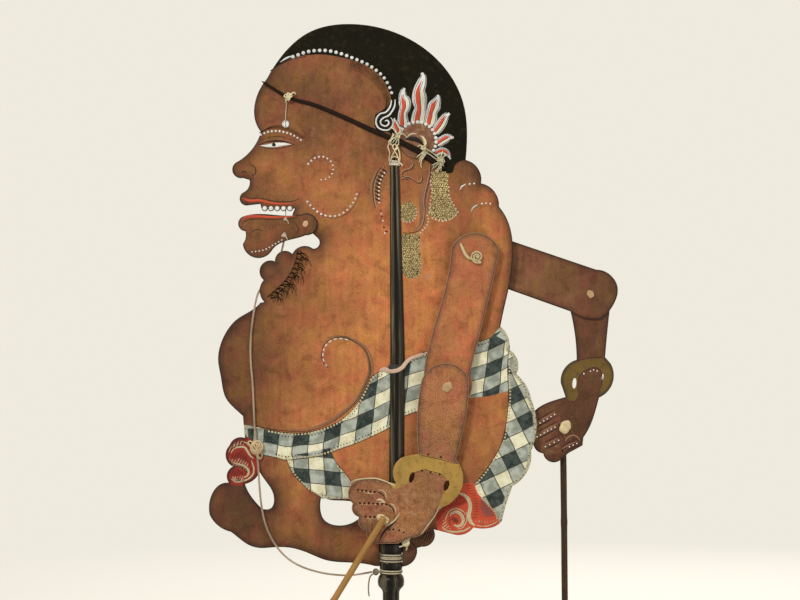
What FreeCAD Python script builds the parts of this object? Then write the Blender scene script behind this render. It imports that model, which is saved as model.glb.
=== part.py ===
import FreeCAD, Part

import math
import os

# Flat rawhide shadow puppet of a stout clown servant, seen in profile and facing -X.
# Millimetres. +Z is up, the painted front faces -Y, and the hide lies in the plane y = 0.
# The origin is the middle of the handle's grip, on the grip's own axis.

# ---- driving dimensions ----
HIDE = 1.5                 # thickness of the figure's rawhide
ARM_HIDE = 1.2             # thickness of the arms' rawhide
JAW_HIDE = 1.3             # thickness of the lower jaw
AIR = 0.3                  # air between layers that move past each other
RUN = 0.08                 # radial running clearance of a thong in its hole
UPPER_ARM_OFF = 5.4        # mid plane of the hide to the inner face of an upper arm
GRIP_R = 6.2               # radius of the handle's grip
GRIP_LENGTH = 100.0
ROD_TOP = 376.0            # top of the main rod
SLOT_BOTTOM = 69.5         # where the saw cut that holds the hide ends
HAND_ROD_R = 2.6
HAND_ROD_LENGTH = 250.0
HAND_ROD_OFF = 13.2        # mid plane of the hide to the axis of a hand rod
NEAR_ROD_LEAN = 31.4       # degrees that the near hand rod leans forward
FAR_ROD_LEAN = -0.7        # degrees that the far hand rod leans forward
CORD_R = 0.8               # pull cord
STRING_R = 0.45            # jaw string
THREAD = 0.85              # thickness of a wound thread binding
GROOVE = 0.35              # how far a binding sinks into the main rod

# ---- places, as (x, z) ----
SHOULDER = (64.5, 303.0)
NEAR_ELBOW = (42.0, 205.0)
NEAR_HAND_HOLE = (-6.0, 106.5)
FAR_ELBOW = (150.0, 274.5)
FAR_HAND_HOLE = (129.75, 174.0)
JAW_PIVOT = (-64.0, 327.0)
STRING_HOLE = (-79.0, 402.0)
STRING_ON_JAW = (-79.0, 330.5)
CORD_ON_JAW = (-80.0, 318.5)
STRING_ON_SPRING = (-77.0, 422.0)
CORD_GUIDE = (-101.0, 160.0)
CORD_END = (-11.4, 66.2)

# ---- layers, as distances from the mid plane ----
FACE = HIDE / 2
UPPER_OUT = UPPER_ARM_OFF + ARM_HIDE
FORE_IN = UPPER_OUT + AIR
FORE_OUT = FORE_IN + ARM_HIDE
JAW_IN = FACE + AIR
JAW_OUT = JAW_IN + JAW_HIDE

SHOULDER_THONG_R = 1.5
ELBOW_THONG_R = 1.1
HAND_THONG_R = 1.1
JAW_THONG_R = 1.0
LOOP_R = 0.8               # thong loop that carries a hand rod
LOOP_BEND = 1.4            # radius of the loop's two corners

parts = {}


# ---- shared shapes ----
def at(point, y=0.0):
    """Point of the XZ plane, moved to depth y."""
    return FreeCAD.Vector(point[0], y, point[1])


def closed_wire(start, stretches, y):
    """Closed outline at depth y. A stretch of one point is a straight line, of two points
    an arc through the first to the second, and of more points a smooth curve through them."""
    edges, here = [], start
    for stretch in stretches:
        points = [at(here, y)] + [at(p, y) for p in stretch]
        if len(points) == 2:
            edges.append(Part.LineSegment(*points).toShape())
        elif len(points) == 3:
            edges.append(Part.Arc(*points).toShape())
        else:
            curve = Part.BSplineCurve()
            curve.interpolate(Points=points)
            edges.append(curve.toShape())
        here = stretch[-1]
    return Part.Wire(edges)


def flat(start, stretches, low, high):
    """Flat piece of hide between depths low and high."""
    face = Part.Face(closed_wire(start, stretches, low))
    return face.extrude(FreeCAD.Vector(0, high - low, 0))


def peg(place, radius, low, high):
    """Cylinder along Y."""
    return Part.makeCylinder(radius, high - low, at(place, low), FreeCAD.Vector(0, 1, 0))


def punch(solid, place, radius):
    """Solid with a round hole through its thickness."""
    return solid.cut(peg(place, radius, -30, 30))


def punch_oval(solid, place, across, along, tilt):
    """Solid with an upright oval hole, its top leant tilt degrees towards +X."""
    hole = Part.Face(Part.Wire(Part.Ellipse(at(place, -30), along, across).toShape()))
    hole.rotate(at(place, -30), FreeCAD.Vector(1, 0, 0), 90)
    hole.rotate(at(place, -30), FreeCAD.Vector(0, 1, 0), 90 + tilt)
    return solid.cut(hole.extrude(FreeCAD.Vector(0, 60, 0)))


def knot(place, radius, low, high):
    """Low round knot: a short cylinder along Y with both rims rounded."""
    body = peg(place, radius, low, high)
    rims = [e for e in body.Edges if isinstance(e.Curve, Part.Circle)]
    return body.makeFillet(0.42 * (high - low), rims)


def oval(centre, ahead, wide, deep):
    """Ellipse wire about centre, square to ahead: wide in the XZ plane, deep along Y."""
    side = ahead.cross(FreeCAD.Vector(0, 1, 0)).normalize()
    tip, top = centre + side * wide, centre + FreeCAD.Vector(0, deep, 0)
    return Part.Wire(Part.Ellipse(tip, top, centre).toShape())


def binding(centre, ahead, length, wide, deep, thread):
    """Band of thread wound on an oval wide by deep, as long as length along ahead."""
    start = centre - ahead * (length / 2)
    outer = Part.Face(oval(start, ahead, wide + thread, deep + thread)).extrude(ahead * length)
    inner = Part.Face(oval(start, ahead, wide, deep)).extrude(ahead * length)
    return outer.cut(inner)


def tapered_strip(places, wide, deep, y):
    """Strip with an oval section that runs through places at depth y."""
    points = [at(p, y) for p in places]
    sections = []
    for i, point in enumerate(points):
        ahead = (points[min(i + 1, len(points) - 1)] - points[max(i - 1, 0)]).normalize()
        sections.append(oval(point, ahead, wide[i], deep[i]))
    return Part.makeLoft(sections, True, False)


def rounded_path(route, bend=None):
    """Straight runs joined by tangent arcs, and the arcs' radii. Each arc is as large as its
    two runs allow, or of radius bend."""
    points = [FreeCAD.Vector(*p) for p in route]
    edges, here, radii = [], points[0], []
    for before, corner, after in zip(points, points[1:], points[2:]):
        back, ahead = before - corner, after - corner
        half_turn = (math.pi - back.getAngle(ahead)) / 2
        reach = 0.45 * min(back.Length, ahead.Length)
        if bend is not None:
            reach = bend * math.tan(half_turn)
        radii.append(reach / math.tan(half_turn))
        start = corner + back.normalize() * reach
        end = corner + ahead.normalize() * reach
        inward = (back + ahead).normalize()
        middle = corner + inward * (radii[-1] / math.cos(half_turn) - radii[-1])
        edges.append(Part.LineSegment(here, start).toShape())
        edges.append(Part.Arc(start, middle, end).toShape())
        here = end
    edges.append(Part.LineSegment(here, points[-1]).toShape())
    return Part.Wire(edges), radii


def tube(path, radius):
    """Round bar along a path that starts with a straight run."""
    start = path.Edges[0]
    ring = Part.Circle(start.valueAt(start.FirstParameter), start.tangentAt(start.FirstParameter), radius)
    return path.makePipeShell([Part.Wire(ring.toShape())], True, False)


def cord(name, route, radius):
    """Cord along its route, with a printed check of its bends and its volume."""
    path, radii = rounded_path(route)
    solid = tube(path, radius)
    section = math.pi * radius ** 2
    print(name, "length", round(path.Length, 1), "volume", round(solid.Volume, 1),
          "section x length", round(section * path.Length, 1))
    print(name, "arc radii", [round(r, 1) for r in radii])
    return solid


# ---- the figure: one sheet of hide, with its head in profile ----
def figure_outline():
    """Start point and stretches, clockwise from the front of the hair."""
    hair = [(-85, 449), (-61, 471), (-31.5, 477), (7, 469), (36, 449), (54, 418.5),
            (57, 389), (56, 375)]
    back = [[(65, 369), (67.5, 357.5)], [(77, 352), (81, 340)],
            [(87.5, 329.5), (91.5, 306), (88, 277.5), (84, 260), (82, 250)]]
    hip_cloth = [[(87.5, 243), (88.5, 233)], [(94.5, 226), (94, 214.5)],
                 [(101, 206.5), (105, 196)], [(108.5, 184), (109, 171), (105, 157)],
                 [(103, 143), (91, 130.5)], [(86, 116)], [(83, 104)],
                 [(79, 100.8), (73, 98.9)], [(67, 98.6), (61.8, 99.4)],
                 [(56.5, 95), (46, 94.5)], [(32, 98)]]
    far_foot = [[(31.5, 89), (23, 85)], [(19.5, 84)], [(17, 74.5), (8, 70)], [(-12, 70.5)]]
    near_leg = [[(-28.5, 73), (-49, 75), (-61.5, 80), (-74, 84), (-88, 84.6), (-98, 84),
                 (-106.5, 86.2), (-113.5, 91), (-120, 96.2)], [(-130.5, 101.5), (-136, 109)],
                [(-136.5, 115.5), (-134.5, 124), (-130.5, 130), (-121.5, 133)]]
    sash_end = [[(-123, 139.5), (-118.5, 145)], [(-124, 153), (-121, 161)],
                [(-116, 166.5), (-109.5, 166.5)], [(-111, 183)]]
    belly = [[(-116, 187.5), (-123.6, 196), (-127.7, 213), (-129.6, 224), (-124.2, 245),
              (-115, 256), (-102, 264), (-98, 268)]]
    beard = [[(-95, 268.5)], [(-98.5, 277), (-95.5, 285)], [(-96.5, 297), (-87, 299)],
             [(-82, 306.5), (-74, 304.5)], [(-66, 310.5), (-58.5, 308.5)],
             [(-54, 311), (-54.5, 316)]]
    behind_jaw = [[(-60, 321)], [(-71, 321.5)], [(-74, 328), (-72, 338.5)], [(-73.5, 338.5)]]
    tooth, teeth = 4.7, []
    for i in range(5):
        x = -73.5 - tooth * i
        teeth.append([(x - tooth / 2, 336.5), (x - tooth, 338.5)])
    face = [[(-98, 342)], [(-107, 341)], [(-113.5, 345.5), (-110, 351)],
            [(-106.5, 355), (-106, 360)], [(-111, 361.5)], [(-119, 367), (-114.5, 374)],
            [(-103.5, 384), (-97.5, 396)], [(-102, 405), (-101.5, 420), (-93, 436)]]
    return (-93, 436), ([hair] + back + hip_cloth + far_foot + near_leg + sash_end + belly
                        + beard + behind_jaw + teeth + face)


def figure():
    solid = flat(*figure_outline(), -FACE, FACE)
    under_knee = flat((-98.5, 141), [[(-94.5, 135), (-88, 123.5), (-89, 115), (-97, 113.5)],
                                     [(-104, 121.5), (-107.5, 127), (-109.5, 132)],
                                     [(-103, 135), (-98.5, 141)]], -FACE, FACE)
    between_legs = flat((-52, 123), [[(-53, 113), (-50, 105), (-41, 101), (-30, 102.5), (-22, 108)],
                                     [(-29, 118.6), (-40, 119.6), (-52, 123)]], -FACE, FACE)
    solid = solid.cut(under_knee).cut(between_legs)
    solid = punch(solid, SHOULDER, SHOULDER_THONG_R)
    solid = punch(solid, JAW_PIVOT, JAW_THONG_R)
    return punch(solid, STRING_HOLE, 2.0)


def lower_jaw():
    """Separate jaw that lies on the figure's front and turns on its own thong."""
    outline = [[(-55, 327.5), (-64, 318.5)], [(-74, 315.5), (-82, 313), (-89, 307.5)],
               [(-101, 301.5), (-111, 312)], [(-108.8, 317), (-109, 321.5)],
               [(-114.5, 327), (-111, 332.5)], [(-100, 334.5), (-84, 333.5), (-66, 334.5)]]
    jaw = flat((-66, 334.5), outline, -JAW_OUT, -JAW_IN)
    jaw = punch(jaw, JAW_PIVOT, JAW_THONG_R + RUN)
    jaw = punch(jaw, STRING_ON_JAW, STRING_R + 0.1)
    return punch(jaw, CORD_ON_JAW, CORD_R + 0.1)


# ---- the arms ----
def near_upper_arm():
    outline = [[(63, 320.5), (81, 308)], [(78, 292), (70.5, 260), (59, 215)],
               [(43.5, 188.5), (24, 207)], [(26.5, 228), (36.5, 265), (45, 309)]]
    arm = flat((45, 309), outline, -UPPER_OUT, -UPPER_ARM_OFF)
    arm = punch(arm, SHOULDER, SHOULDER_THONG_R + RUN)
    return punch(arm, NEAR_ELBOW, ELBOW_THONG_R + RUN)


def near_forearm():
    """Forearm, bracelet and pointing hand, cut as one piece."""
    wrist = [[(58, 197), (54, 172.5), (48.5, 151)], [(54, 135), (39, 115.5)]]
    palm = [[(32, 107), (23, 95), (15, 92.5)], [(5, 88)], [(-10, 88)]]
    fingers = [[(-16.5, 91), (-18.5, 97.5)], [(-23.5, 101.5), (-24, 108)],
               [(-28.5, 111.5), (-28.5, 118)], [(-32, 126.5), (-28, 133.5)]]
    top = [[(-22, 136.5), (-12, 137), (-3, 134.5), (4, 133)], [(3.5, 148), (14, 154)],
           [(20.5, 155)], [(19.5, 183), (22.5, 208.5)], [(40, 223), (58, 212)]]
    arm = flat((58, 212), wrist + palm + fingers + top, -FORE_OUT, -FORE_IN)
    arm = punch_oval(arm, (15.5, 137.5), 1.7, 4.0, 18)
    arm = punch_oval(arm, (41.5, 131.5), 1.9, 4.0, 18)
    arm = punch(arm, NEAR_ELBOW, ELBOW_THONG_R)
    return punch(arm, NEAR_HAND_HOLE, HAND_THONG_R + RUN)


def far_upper_arm():
    outline = [[(154.5, 292.8)], [(165.5, 288.4), (170.4, 280), (168.2, 268), (158.3, 256)],
               [(147, 255.7), (135, 261.4)], [(58.8, 288.5)], [(48, 311), (70.5, 321.3)]]
    arm = flat((70.5, 321.3), outline, UPPER_ARM_OFF, UPPER_OUT)
    arm = punch(arm, SHOULDER, SHOULDER_THONG_R + RUN)
    return punch(arm, FAR_ELBOW, ELBOW_THONG_R + RUN)


def far_forearm():
    """Forearm, bracelet and hand, cut as one piece."""
    wrist = [[(138.6, 243), (139.8, 225)], [(130.3, 218), (127.8, 207.5)], [(131.4, 197)]]
    fingers = [[(122, 194.2), (113, 190.3), (103, 176)], [(102.7, 170), (107.2, 163)],
               [(109, 157.3), (114.6, 154.5)], [(119, 148.5), (129, 151)], [(134, 155)],
               [(144.2, 160.5)], [(144.8, 166.5)]]
    back = [[(149.8, 175), (153.8, 186), (156.6, 196.5)], [(167, 208), (165.5, 222)],
            [(161.2, 227)], [(162.6, 243), (164.6, 262)], [(150, 288.5), (135, 262)]]
    arm = flat((135, 262), wrist + fingers + back, FORE_IN, FORE_OUT)
    arm = punch_oval(arm, (138.1, 207.3), 1.5, 4.1, 5)
    arm = punch_oval(arm, (159.2, 212.0), 0.8, 2.6, 8)
    arm = punch(arm, FAR_ELBOW, ELBOW_THONG_R)
    return punch(arm, FAR_HAND_HOLE, HAND_THONG_R + RUN)


def elbow_thong(place, side):
    """Thong through both arm pieces, knotted outside and flat inside. Side is -1 in front."""
    inner = sorted((side * (UPPER_ARM_OFF - AIR), side * (UPPER_ARM_OFF - AIR - 0.45)))
    shank = sorted((side * (UPPER_ARM_OFF - AIR - 0.1), side * (FORE_OUT + 0.1)))
    outer = sorted((side * FORE_OUT, side * (FORE_OUT + 1.3)))
    return peg(place, 3.0, *inner).fuse([peg(place, ELBOW_THONG_R, *shank),
                                         knot(place, 4.0, *outer)]).removeSplitter()


def shoulder_thong():
    """One thong through both upper arms, the spacers and the figure, knotted at each end."""
    end = UPPER_OUT + AIR
    shank = peg(SHOULDER, SHOULDER_THONG_R, -end - 0.2, end + 0.2)
    return shank.fuse([knot(SHOULDER, 5.0, -end - 2.5, -end),
                       knot(SHOULDER, 5.0, end, end + 2.5)]).removeSplitter()


def shoulder_spacers(side):
    """Three leather washers that hold an upper arm clear of the main rod."""
    washers = []
    for i in range(3):
        near, far = FACE + 1.5 * i, FACE + 1.5 * (i + 1)
        washer = peg(SHOULDER, 7.0, *sorted((side * near, side * far)))
        washers.append(punch(washer, SHOULDER, SHOULDER_THONG_R))
    return Part.makeCompound(washers)


# ---- the hand rods and the thong loops that carry them ----
def rod_direction(lean):
    """Unit vector down a hand rod that leans forward by lean degrees."""
    angle = math.radians(lean)
    return FreeCAD.Vector(-math.sin(angle), 0, -math.cos(angle))


def rod_tie(place, lean, side):
    """Thong loop: knotted on both faces of the hand, with a bar that the rod swings on."""
    bar = rod_direction(lean).cross(FreeCAD.Vector(0, 1, 0))
    leg_off = HAND_ROD_R + 1.6
    loose = 0.25
    disc_out = FORE_OUT + loose + 1.1
    knot_r, knot_deep = (2.6, 0.6) if side < 0 else (4.8, 1.7)
    inner_knot = sorted((side * (FORE_IN - loose), side * (FORE_IN - loose - knot_deep)))
    outer_disc = sorted((side * (FORE_OUT + loose), side * disc_out))
    shank = sorted((side * (FORE_IN - loose - 0.1), side * (FORE_OUT + loose + 0.1)))
    root, high = at(place, side * (disc_out - 0.3)), at(place, side * HAND_ROD_OFF)
    corners = [root + bar * leg_off, high + bar * leg_off, high - bar * leg_off, root - bar * leg_off]
    loop = tube(rounded_path(corners, LOOP_BEND)[0], LOOP_R)
    pieces = [peg(place, HAND_THONG_R, *shank), peg(place, leg_off + 1.4, *outer_disc), loop]
    return peg(place, knot_r, *inner_knot).fuse(pieces).removeSplitter()


def hand_rod(place, lean, side):
    """Thin round stick with a rounded head and a cross hole at its top end."""
    top = at(place, side * HAND_ROD_OFF)
    ahead = rod_direction(lean)
    stick = Part.makeCylinder(HAND_ROD_R, HAND_ROD_LENGTH, top, ahead)
    stick = stick.fuse(Part.makeSphere(HAND_ROD_R, top)).removeSplitter()
    bar = ahead.cross(FreeCAD.Vector(0, 1, 0))
    hole = Part.makeCylinder(LOOP_R + RUN, 20, top - bar * 10, bar)
    return stick.cut(hole)


# ---- the main rod: a split stick that clasps the figure, with a turned handle ----
WAIST = (7.6, 4.6)         # half width and half depth of the handle's waist
ROD_SECTIONS = [           # z, middle x, half width, half depth
    (82.0, 0.3, 5.6, 3.6),
    (135.0, 4.2, 5.6, 3.6),
    (232.0, 4.9, 5.4, 3.5),
    (345.0, 3.2, 3.9, 3.2),
    (ROD_TOP, 2.6, 3.4, 3.0)]


def round_collar(low, high, wide, deep):
    """Oval collar about the Z axis with both rims rounded."""
    up = FreeCAD.Vector(0, 0, 1)
    collar = Part.Face(oval(FreeCAD.Vector(0, 0, low), up, wide, deep)).extrude(up * (high - low))
    rims = [e for e in collar.Edges if isinstance(e.Curve, Part.Ellipse)]
    return collar.makeFillet(0.4 * (high - low) if high - low < 6 else 2.2, rims)


def main_rod():
    up = FreeCAD.Vector(0, 0, 1)
    half_grip = GRIP_LENGTH / 2
    turned = [(0, -105), (1.6, -104), (2.6, -101), (GRIP_R, -half_grip), (GRIP_R, half_grip)]
    profile = [FreeCAD.Vector(x, 0, z) for x, z in turned]
    edges = [Part.LineSegment(a, b).toShape() for a, b in zip(profile, profile[1:])]
    bulge = [FreeCAD.Vector(x, 0, z) for x, z in ((GRIP_R, half_grip), (7.0, 53.0), (9.6, 56.0))]
    edges.append(Part.Arc(*bulge).toShape())
    crown = [FreeCAD.Vector(x, 0, z) for x, z in ((9.6, 56.0), (9.7, 61.5), (8.3, 64.5))]
    edges.append(Part.Arc(*crown).toShape())
    edges.append(Part.LineSegment(crown[-1], FreeCAD.Vector(0, 0, 64.5)).toShape())
    edges.append(Part.LineSegment(FreeCAD.Vector(0, 0, 64.5), profile[0]).toShape())
    handle = Part.Face(Part.Wire(edges)).revolve(FreeCAD.Vector(), up, 360)
    waist = Part.Face(oval(FreeCAD.Vector(0, 0, 63.0), up, *WAIST)).extrude(up * 24)
    stem = [oval(FreeCAD.Vector(x, 0, z), up, wide, deep) for z, x, wide, deep in ROD_SECTIONS]
    stick = Part.makeLoft(stem, True, False)
    rod = handle.fuse([waist, round_collar(80.5, 88.0, 9.2, 5.6),
                       round_collar(68.2, 73.3, 8.5, 5.4), stick]).removeSplitter()
    slot = Part.makeBox(40, HIDE, 400, FreeCAD.Vector(-20, -FACE, SLOT_BOTTOM))
    return rod.cut(slot)


def rod_binding(z, length):
    """Turns of thread round the main rod at height z, through slits in the hide."""
    below = max(s for s in ROD_SECTIONS if s[0] <= z)
    above = min(s for s in ROD_SECTIONS if s[0] >= z)
    share = (z - below[0]) / (above[0] - below[0])
    x, wide, deep = [a + share * (b - a) for a, b in zip(below[1:], above[1:])]
    return binding(FreeCAD.Vector(x, 0, z), FreeCAD.Vector(0, 0, 1), length,
                   wide - GROOVE, deep - GROOVE, THREAD + GROOVE)


# ---- the spring lever that shuts the jaw ----
SPRING_Y = -FACE - 1.35    # mid depth of the lever
STOCK_LINE = [(0.4, 391.0), (11.5, 386.2), (25.0, 378.8), (40.5, 368.2)]
ARM_LINE = [(-1.2, 391.8), (-16.5, 398.3), (-37.0, 407.8), (-57.5, 416.2), STRING_ON_SPRING,
            (-97.0, 434.0)]


def lash(place, towards, half_height, length):
    """Thread loop that holds the lever down and comes back through the hide."""
    ahead = (at(towards) - at(place)).normalize()
    front, back = FACE + 3.0, FACE + 0.1
    centre = at(place, (back - front) / 2)
    return binding(centre, ahead, length, half_height, (front + back) / 2, THREAD)


# ---- the strings ----
JAW_STRING_ROUTE = [(-78.2, -2.0, 417.6), (-79.0, -1.8, 409.0), (-79.0, -1.7, 403.6),
                    (-79.0, 1.7, 400.4), (-79.0, 1.7, 394.0), (-79.0, 1.5, 342.0),
                    (-79.0, 1.4, 336.6), (-79.0, -0.45, 332.4)]
PULL_CORD_ROUTE = [
    (-80, -2.3, 318.5), (-80, 1.5, 318.5), (-80.9, 2.6, 311), (-84.5, 2.6, 299),
    (-92.5, 2.6, 286.5), (-99.6, 1.8, 276.5), (-101.6, -1.2, 268), (-103, -2.5, 259.5),
    (-105, -2.5, 245), (-105.4, -2.3, 226), (-103.6, -2.4, 208), (-103, -2.3, 193),
    (-102.3, -2.6, 177), (-100.9, -2.8, 160), (-99.4, -3.1, 147), (-98.7, -3.2, 133),
    (-97.3, -3.1, 117), (-94.5, -3.2, 103), (-89.5, -3.3, 91), (-82.5, -3.2, 81),
    (-73.5, -3.1, 73.3), (-61.5, -2.9, 68), (-47, -2.6, 64.6), (-33, -2.2, 63.6),
    (-22.5, -1.6, 64.6), (-14.1, -0.9, 66.2)]


# ---- assembly ----
rod = main_rod()
hide = figure()
up = FreeCAD.Vector(0, 0, 1)
bindings = {
    "rod_top_binding": rod_binding(372.5, 3.5),
    "waist_stitch": rod_binding(220.0, 3.6),
    "handle_binding_upper": binding(FreeCAD.Vector(0, 0, 76.9), up, 7.0, *WAIST, 1.1),
    "handle_binding_lower": binding(FreeCAD.Vector(0, 0, 66.35), up, 3.5, *WAIST, 1.1),
    "spring_lash_front": lash(STOCK_LINE[0], STOCK_LINE[1], 3.4, 2.0),
    "spring_lash_middle": lash(STOCK_LINE[2], STOCK_LINE[3], 4.4, 2.2),
    "spring_lash_rear": lash((37.0, 370.6), STOCK_LINE[3], 4.4, 2.4)}
spring_stock = tapered_strip(STOCK_LINE, (1.9, 2.1, 2.2, 2.0), (1.3, 1.3, 1.3, 1.2), SPRING_Y)
for name, band in bindings.items():
    hide = hide.cut(band)
    parts[name] = band
for name in ("rod_top_binding", "waist_stitch"):
    rod = rod.cut(bindings[name])
parts["body_hide"] = hide
parts["main_rod"] = rod
parts["spring_stock"] = spring_stock

net = [Part.makeCylinder(0.5, 12, at((x, ROD_TOP + 0.1), -1.35), at((way, 3.6)).normalize())
       for x, way in ((5.2, -1.2), (0.0, 1.2))]
parts["rod_top_net"] = net[0].fuse(net[1])

parts["lower_jaw"] = lower_jaw()
parts["jaw_pivot_thong"] = peg(JAW_PIVOT, JAW_THONG_R, -JAW_OUT - 0.4, FACE + 0.2).fuse(
    [knot(JAW_PIVOT, 2.4, -JAW_OUT - AIR - 1.1, -JAW_OUT - AIR),
     knot(JAW_PIVOT, 2.4, FACE, FACE + 1.1)]).removeSplitter()
parts["jaw_string_knot"] = knot(STRING_ON_JAW, 1.4, -JAW_OUT - 1.0, -JAW_OUT)
parts["jaw_cord_knot"] = knot(CORD_ON_JAW, 1.9, -JAW_OUT - 1.4, -JAW_OUT)

spring_arm = tapered_strip(ARM_LINE, (1.9, 1.8, 1.6, 1.4, 1.2, 0.9), (1.0, 1.0, 1.0, 1.0, 0.9, 0.8),
                           SPRING_Y)
parts["spring_arm"] = spring_arm
spring_knot = knot(STRING_ON_SPRING, 4.2, SPRING_Y - 2.0, -FACE - AIR)
jaw_string = cord("jaw_string", JAW_STRING_ROUTE, STRING_R)
parts["spring_knot"] = spring_knot.cut(spring_arm).cut(jaw_string)
parts["jaw_string"] = jaw_string

pull_cord = cord("pull_cord", PULL_CORD_ROUTE, CORD_R)
parts["pull_cord"] = pull_cord
parts["cord_guide_knot"] = knot(CORD_GUIDE, 5.2, -5.0, -FACE).cut(pull_cord)
parts["cord_end_knot"] = Part.makeSphere(2.6, at(CORD_END, -0.9)).cut(pull_cord)

parts["shoulder_thong"] = shoulder_thong()
parts["near_shoulder_spacers"] = shoulder_spacers(-1)
parts["far_shoulder_spacers"] = shoulder_spacers(1)
parts["near_upper_arm"] = near_upper_arm()
parts["near_forearm"] = near_forearm()
parts["near_elbow_thong"] = elbow_thong(NEAR_ELBOW, -1)
parts["near_rod_tie"] = rod_tie(NEAR_HAND_HOLE, NEAR_ROD_LEAN, -1)
parts["near_hand_rod"] = hand_rod(NEAR_HAND_HOLE, NEAR_ROD_LEAN, -1)
parts["far_upper_arm"] = far_upper_arm()
parts["far_forearm"] = far_forearm()
parts["far_elbow_thong"] = elbow_thong(FAR_ELBOW, 1)
parts["far_rod_tie"] = rod_tie(FAR_HAND_HOLE, FAR_ROD_LEAN, 1)
parts["far_hand_rod"] = hand_rod(FAR_HAND_HOLE, FAR_ROD_LEAN, 1)

os.makedirs("parts", exist_ok=True)
for name, shape in parts.items():
    solids = shape.Solids
    state = "valid" if shape.isValid() else "NOT VALID"
    print(name, len(solids), "solid(s)", round(shape.Volume, 1), "mm3", state)
    piece = solids[0] if len(solids) == 1 else Part.makeCompound(solids)
    piece.exportStep(os.path.join("parts", name + ".step"))
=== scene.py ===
import bmesh
import bpy
import numpy as np
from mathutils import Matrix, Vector
from mathutils.geometry import delaunay_2d_cdt


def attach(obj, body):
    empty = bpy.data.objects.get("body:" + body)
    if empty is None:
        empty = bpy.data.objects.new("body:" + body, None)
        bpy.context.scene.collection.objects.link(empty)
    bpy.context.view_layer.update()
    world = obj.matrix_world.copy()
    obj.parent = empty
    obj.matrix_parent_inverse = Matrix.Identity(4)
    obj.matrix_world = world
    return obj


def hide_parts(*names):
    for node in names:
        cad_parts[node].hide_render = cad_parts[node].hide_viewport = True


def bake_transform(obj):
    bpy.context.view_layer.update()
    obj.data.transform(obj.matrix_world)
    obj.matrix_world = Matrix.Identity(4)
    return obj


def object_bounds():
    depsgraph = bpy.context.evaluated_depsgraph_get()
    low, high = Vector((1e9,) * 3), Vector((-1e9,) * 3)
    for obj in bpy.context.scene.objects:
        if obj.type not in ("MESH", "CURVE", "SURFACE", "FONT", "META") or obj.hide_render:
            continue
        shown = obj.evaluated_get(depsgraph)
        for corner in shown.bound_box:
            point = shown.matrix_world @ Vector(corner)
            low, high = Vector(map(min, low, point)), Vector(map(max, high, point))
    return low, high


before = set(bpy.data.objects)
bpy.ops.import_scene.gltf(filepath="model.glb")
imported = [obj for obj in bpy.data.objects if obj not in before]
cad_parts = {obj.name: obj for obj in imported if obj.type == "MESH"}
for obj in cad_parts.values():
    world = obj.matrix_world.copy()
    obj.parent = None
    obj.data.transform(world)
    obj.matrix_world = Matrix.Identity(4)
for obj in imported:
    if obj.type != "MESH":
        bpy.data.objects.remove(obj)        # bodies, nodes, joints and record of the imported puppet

# A flat rawhide shadow puppet: a stout clown servant in profile, painted alike on both faces,
# with jointed arms on thin rods and a lower jaw that a bamboo lever shuts and a cord pulls open.
# Lengths in the sections are millimetres; MM turns them into the frame's metres.
MM = 0.001
cad_low, cad_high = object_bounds()
scene = bpy.context.scene

# ---- Studio ----
# A camera level with the figure's waist, square to the painted front, and three large soft
# lamps with a plain white surround. Floor and wall are one pale turned bowl, so that no edge of
# it shows from any side.
VIEW_MIDDLE = (6.75, 270.0)      # x and z at the middle of the view
VIEW_WIDTH = 600.0               # width that the camera takes in at the hide
CAMERA_FAR = 1800.0
SENSOR = 36.0

camera = bpy.data.objects.new("camera", bpy.data.cameras.new("camera"))
camera.data.sensor_width = SENSOR
camera.data.lens = SENSOR * CAMERA_FAR / VIEW_WIDTH
camera.location = Vector((VIEW_MIDDLE[0], -CAMERA_FAR, VIEW_MIDDLE[1])) * MM
camera.rotation_euler = (np.pi / 2, 0, 0)
scene.collection.objects.link(camera)
scene.camera = camera

scene.view_settings.view_transform = "Standard"
scene.world = bpy.data.worlds.new("surround")
scene.world.use_nodes = True
surround = scene.world.node_tree.nodes["Background"]
surround.inputs["Color"].default_value = (1.0, 0.985, 0.96, 1)
surround.inputs["Strength"].default_value = 0.46


def lamp(name, place, aim, width, watts):
    """A square area lamp at place, turned so that its beam goes to aim."""
    made = bpy.data.objects.new(name, bpy.data.lights.new(name, "AREA"))
    made.data.size = width
    made.data.energy = watts
    made.location = place
    made.rotation_euler = (Vector(aim) - Vector(place)).to_track_quat("-Z", "Y").to_euler()
    scene.collection.objects.link(made)


FIGURE_MIDDLE = (0.0, 0.0, 0.26)
lamp("key_lamp", (-1.25, -1.9, 1.75), FIGURE_MIDDLE, 0.55, 37.0)
lamp("fill_lamp", (1.7, -1.7, 0.5), FIGURE_MIDDLE, 1.2, 10.0)
lamp("back_lamp", (0.6, 2.1, 1.5), FIGURE_MIDDLE, 1.2, 34.0)


def new_object(name, mesh, *materials):
    """An object of this mesh in the scene, with these materials in its slots."""
    made = bpy.data.objects.new(name, mesh)
    for material in materials:
        mesh.materials.append(material)
    scene.collection.objects.link(made)
    return made


def full_turn(count):
    """This many angles, evenly round a circle."""
    return np.linspace(0, 2 * np.pi, count, endpoint=False)


def turned_mesh(name, points):
    """A mesh of quads on rings of points, points[ring, j]. Each point is joined to the next of its
    own ring, the last to the first, and to the next ring."""
    nu, nv = points.shape[:2]
    i, j = np.meshgrid(np.arange(nu - 1), np.arange(nv), indexing="ij")
    a, d = i * nv + j, i * nv + (j + 1) % nv
    faces = np.stack((a, a + nv, d + nv, d), -1).reshape(-1, 4)
    mesh = bpy.data.meshes.new(name)
    mesh.from_pydata(points.reshape(-1, 3).tolist(), [], faces.tolist())
    mesh.shade_smooth()
    return mesh


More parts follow.
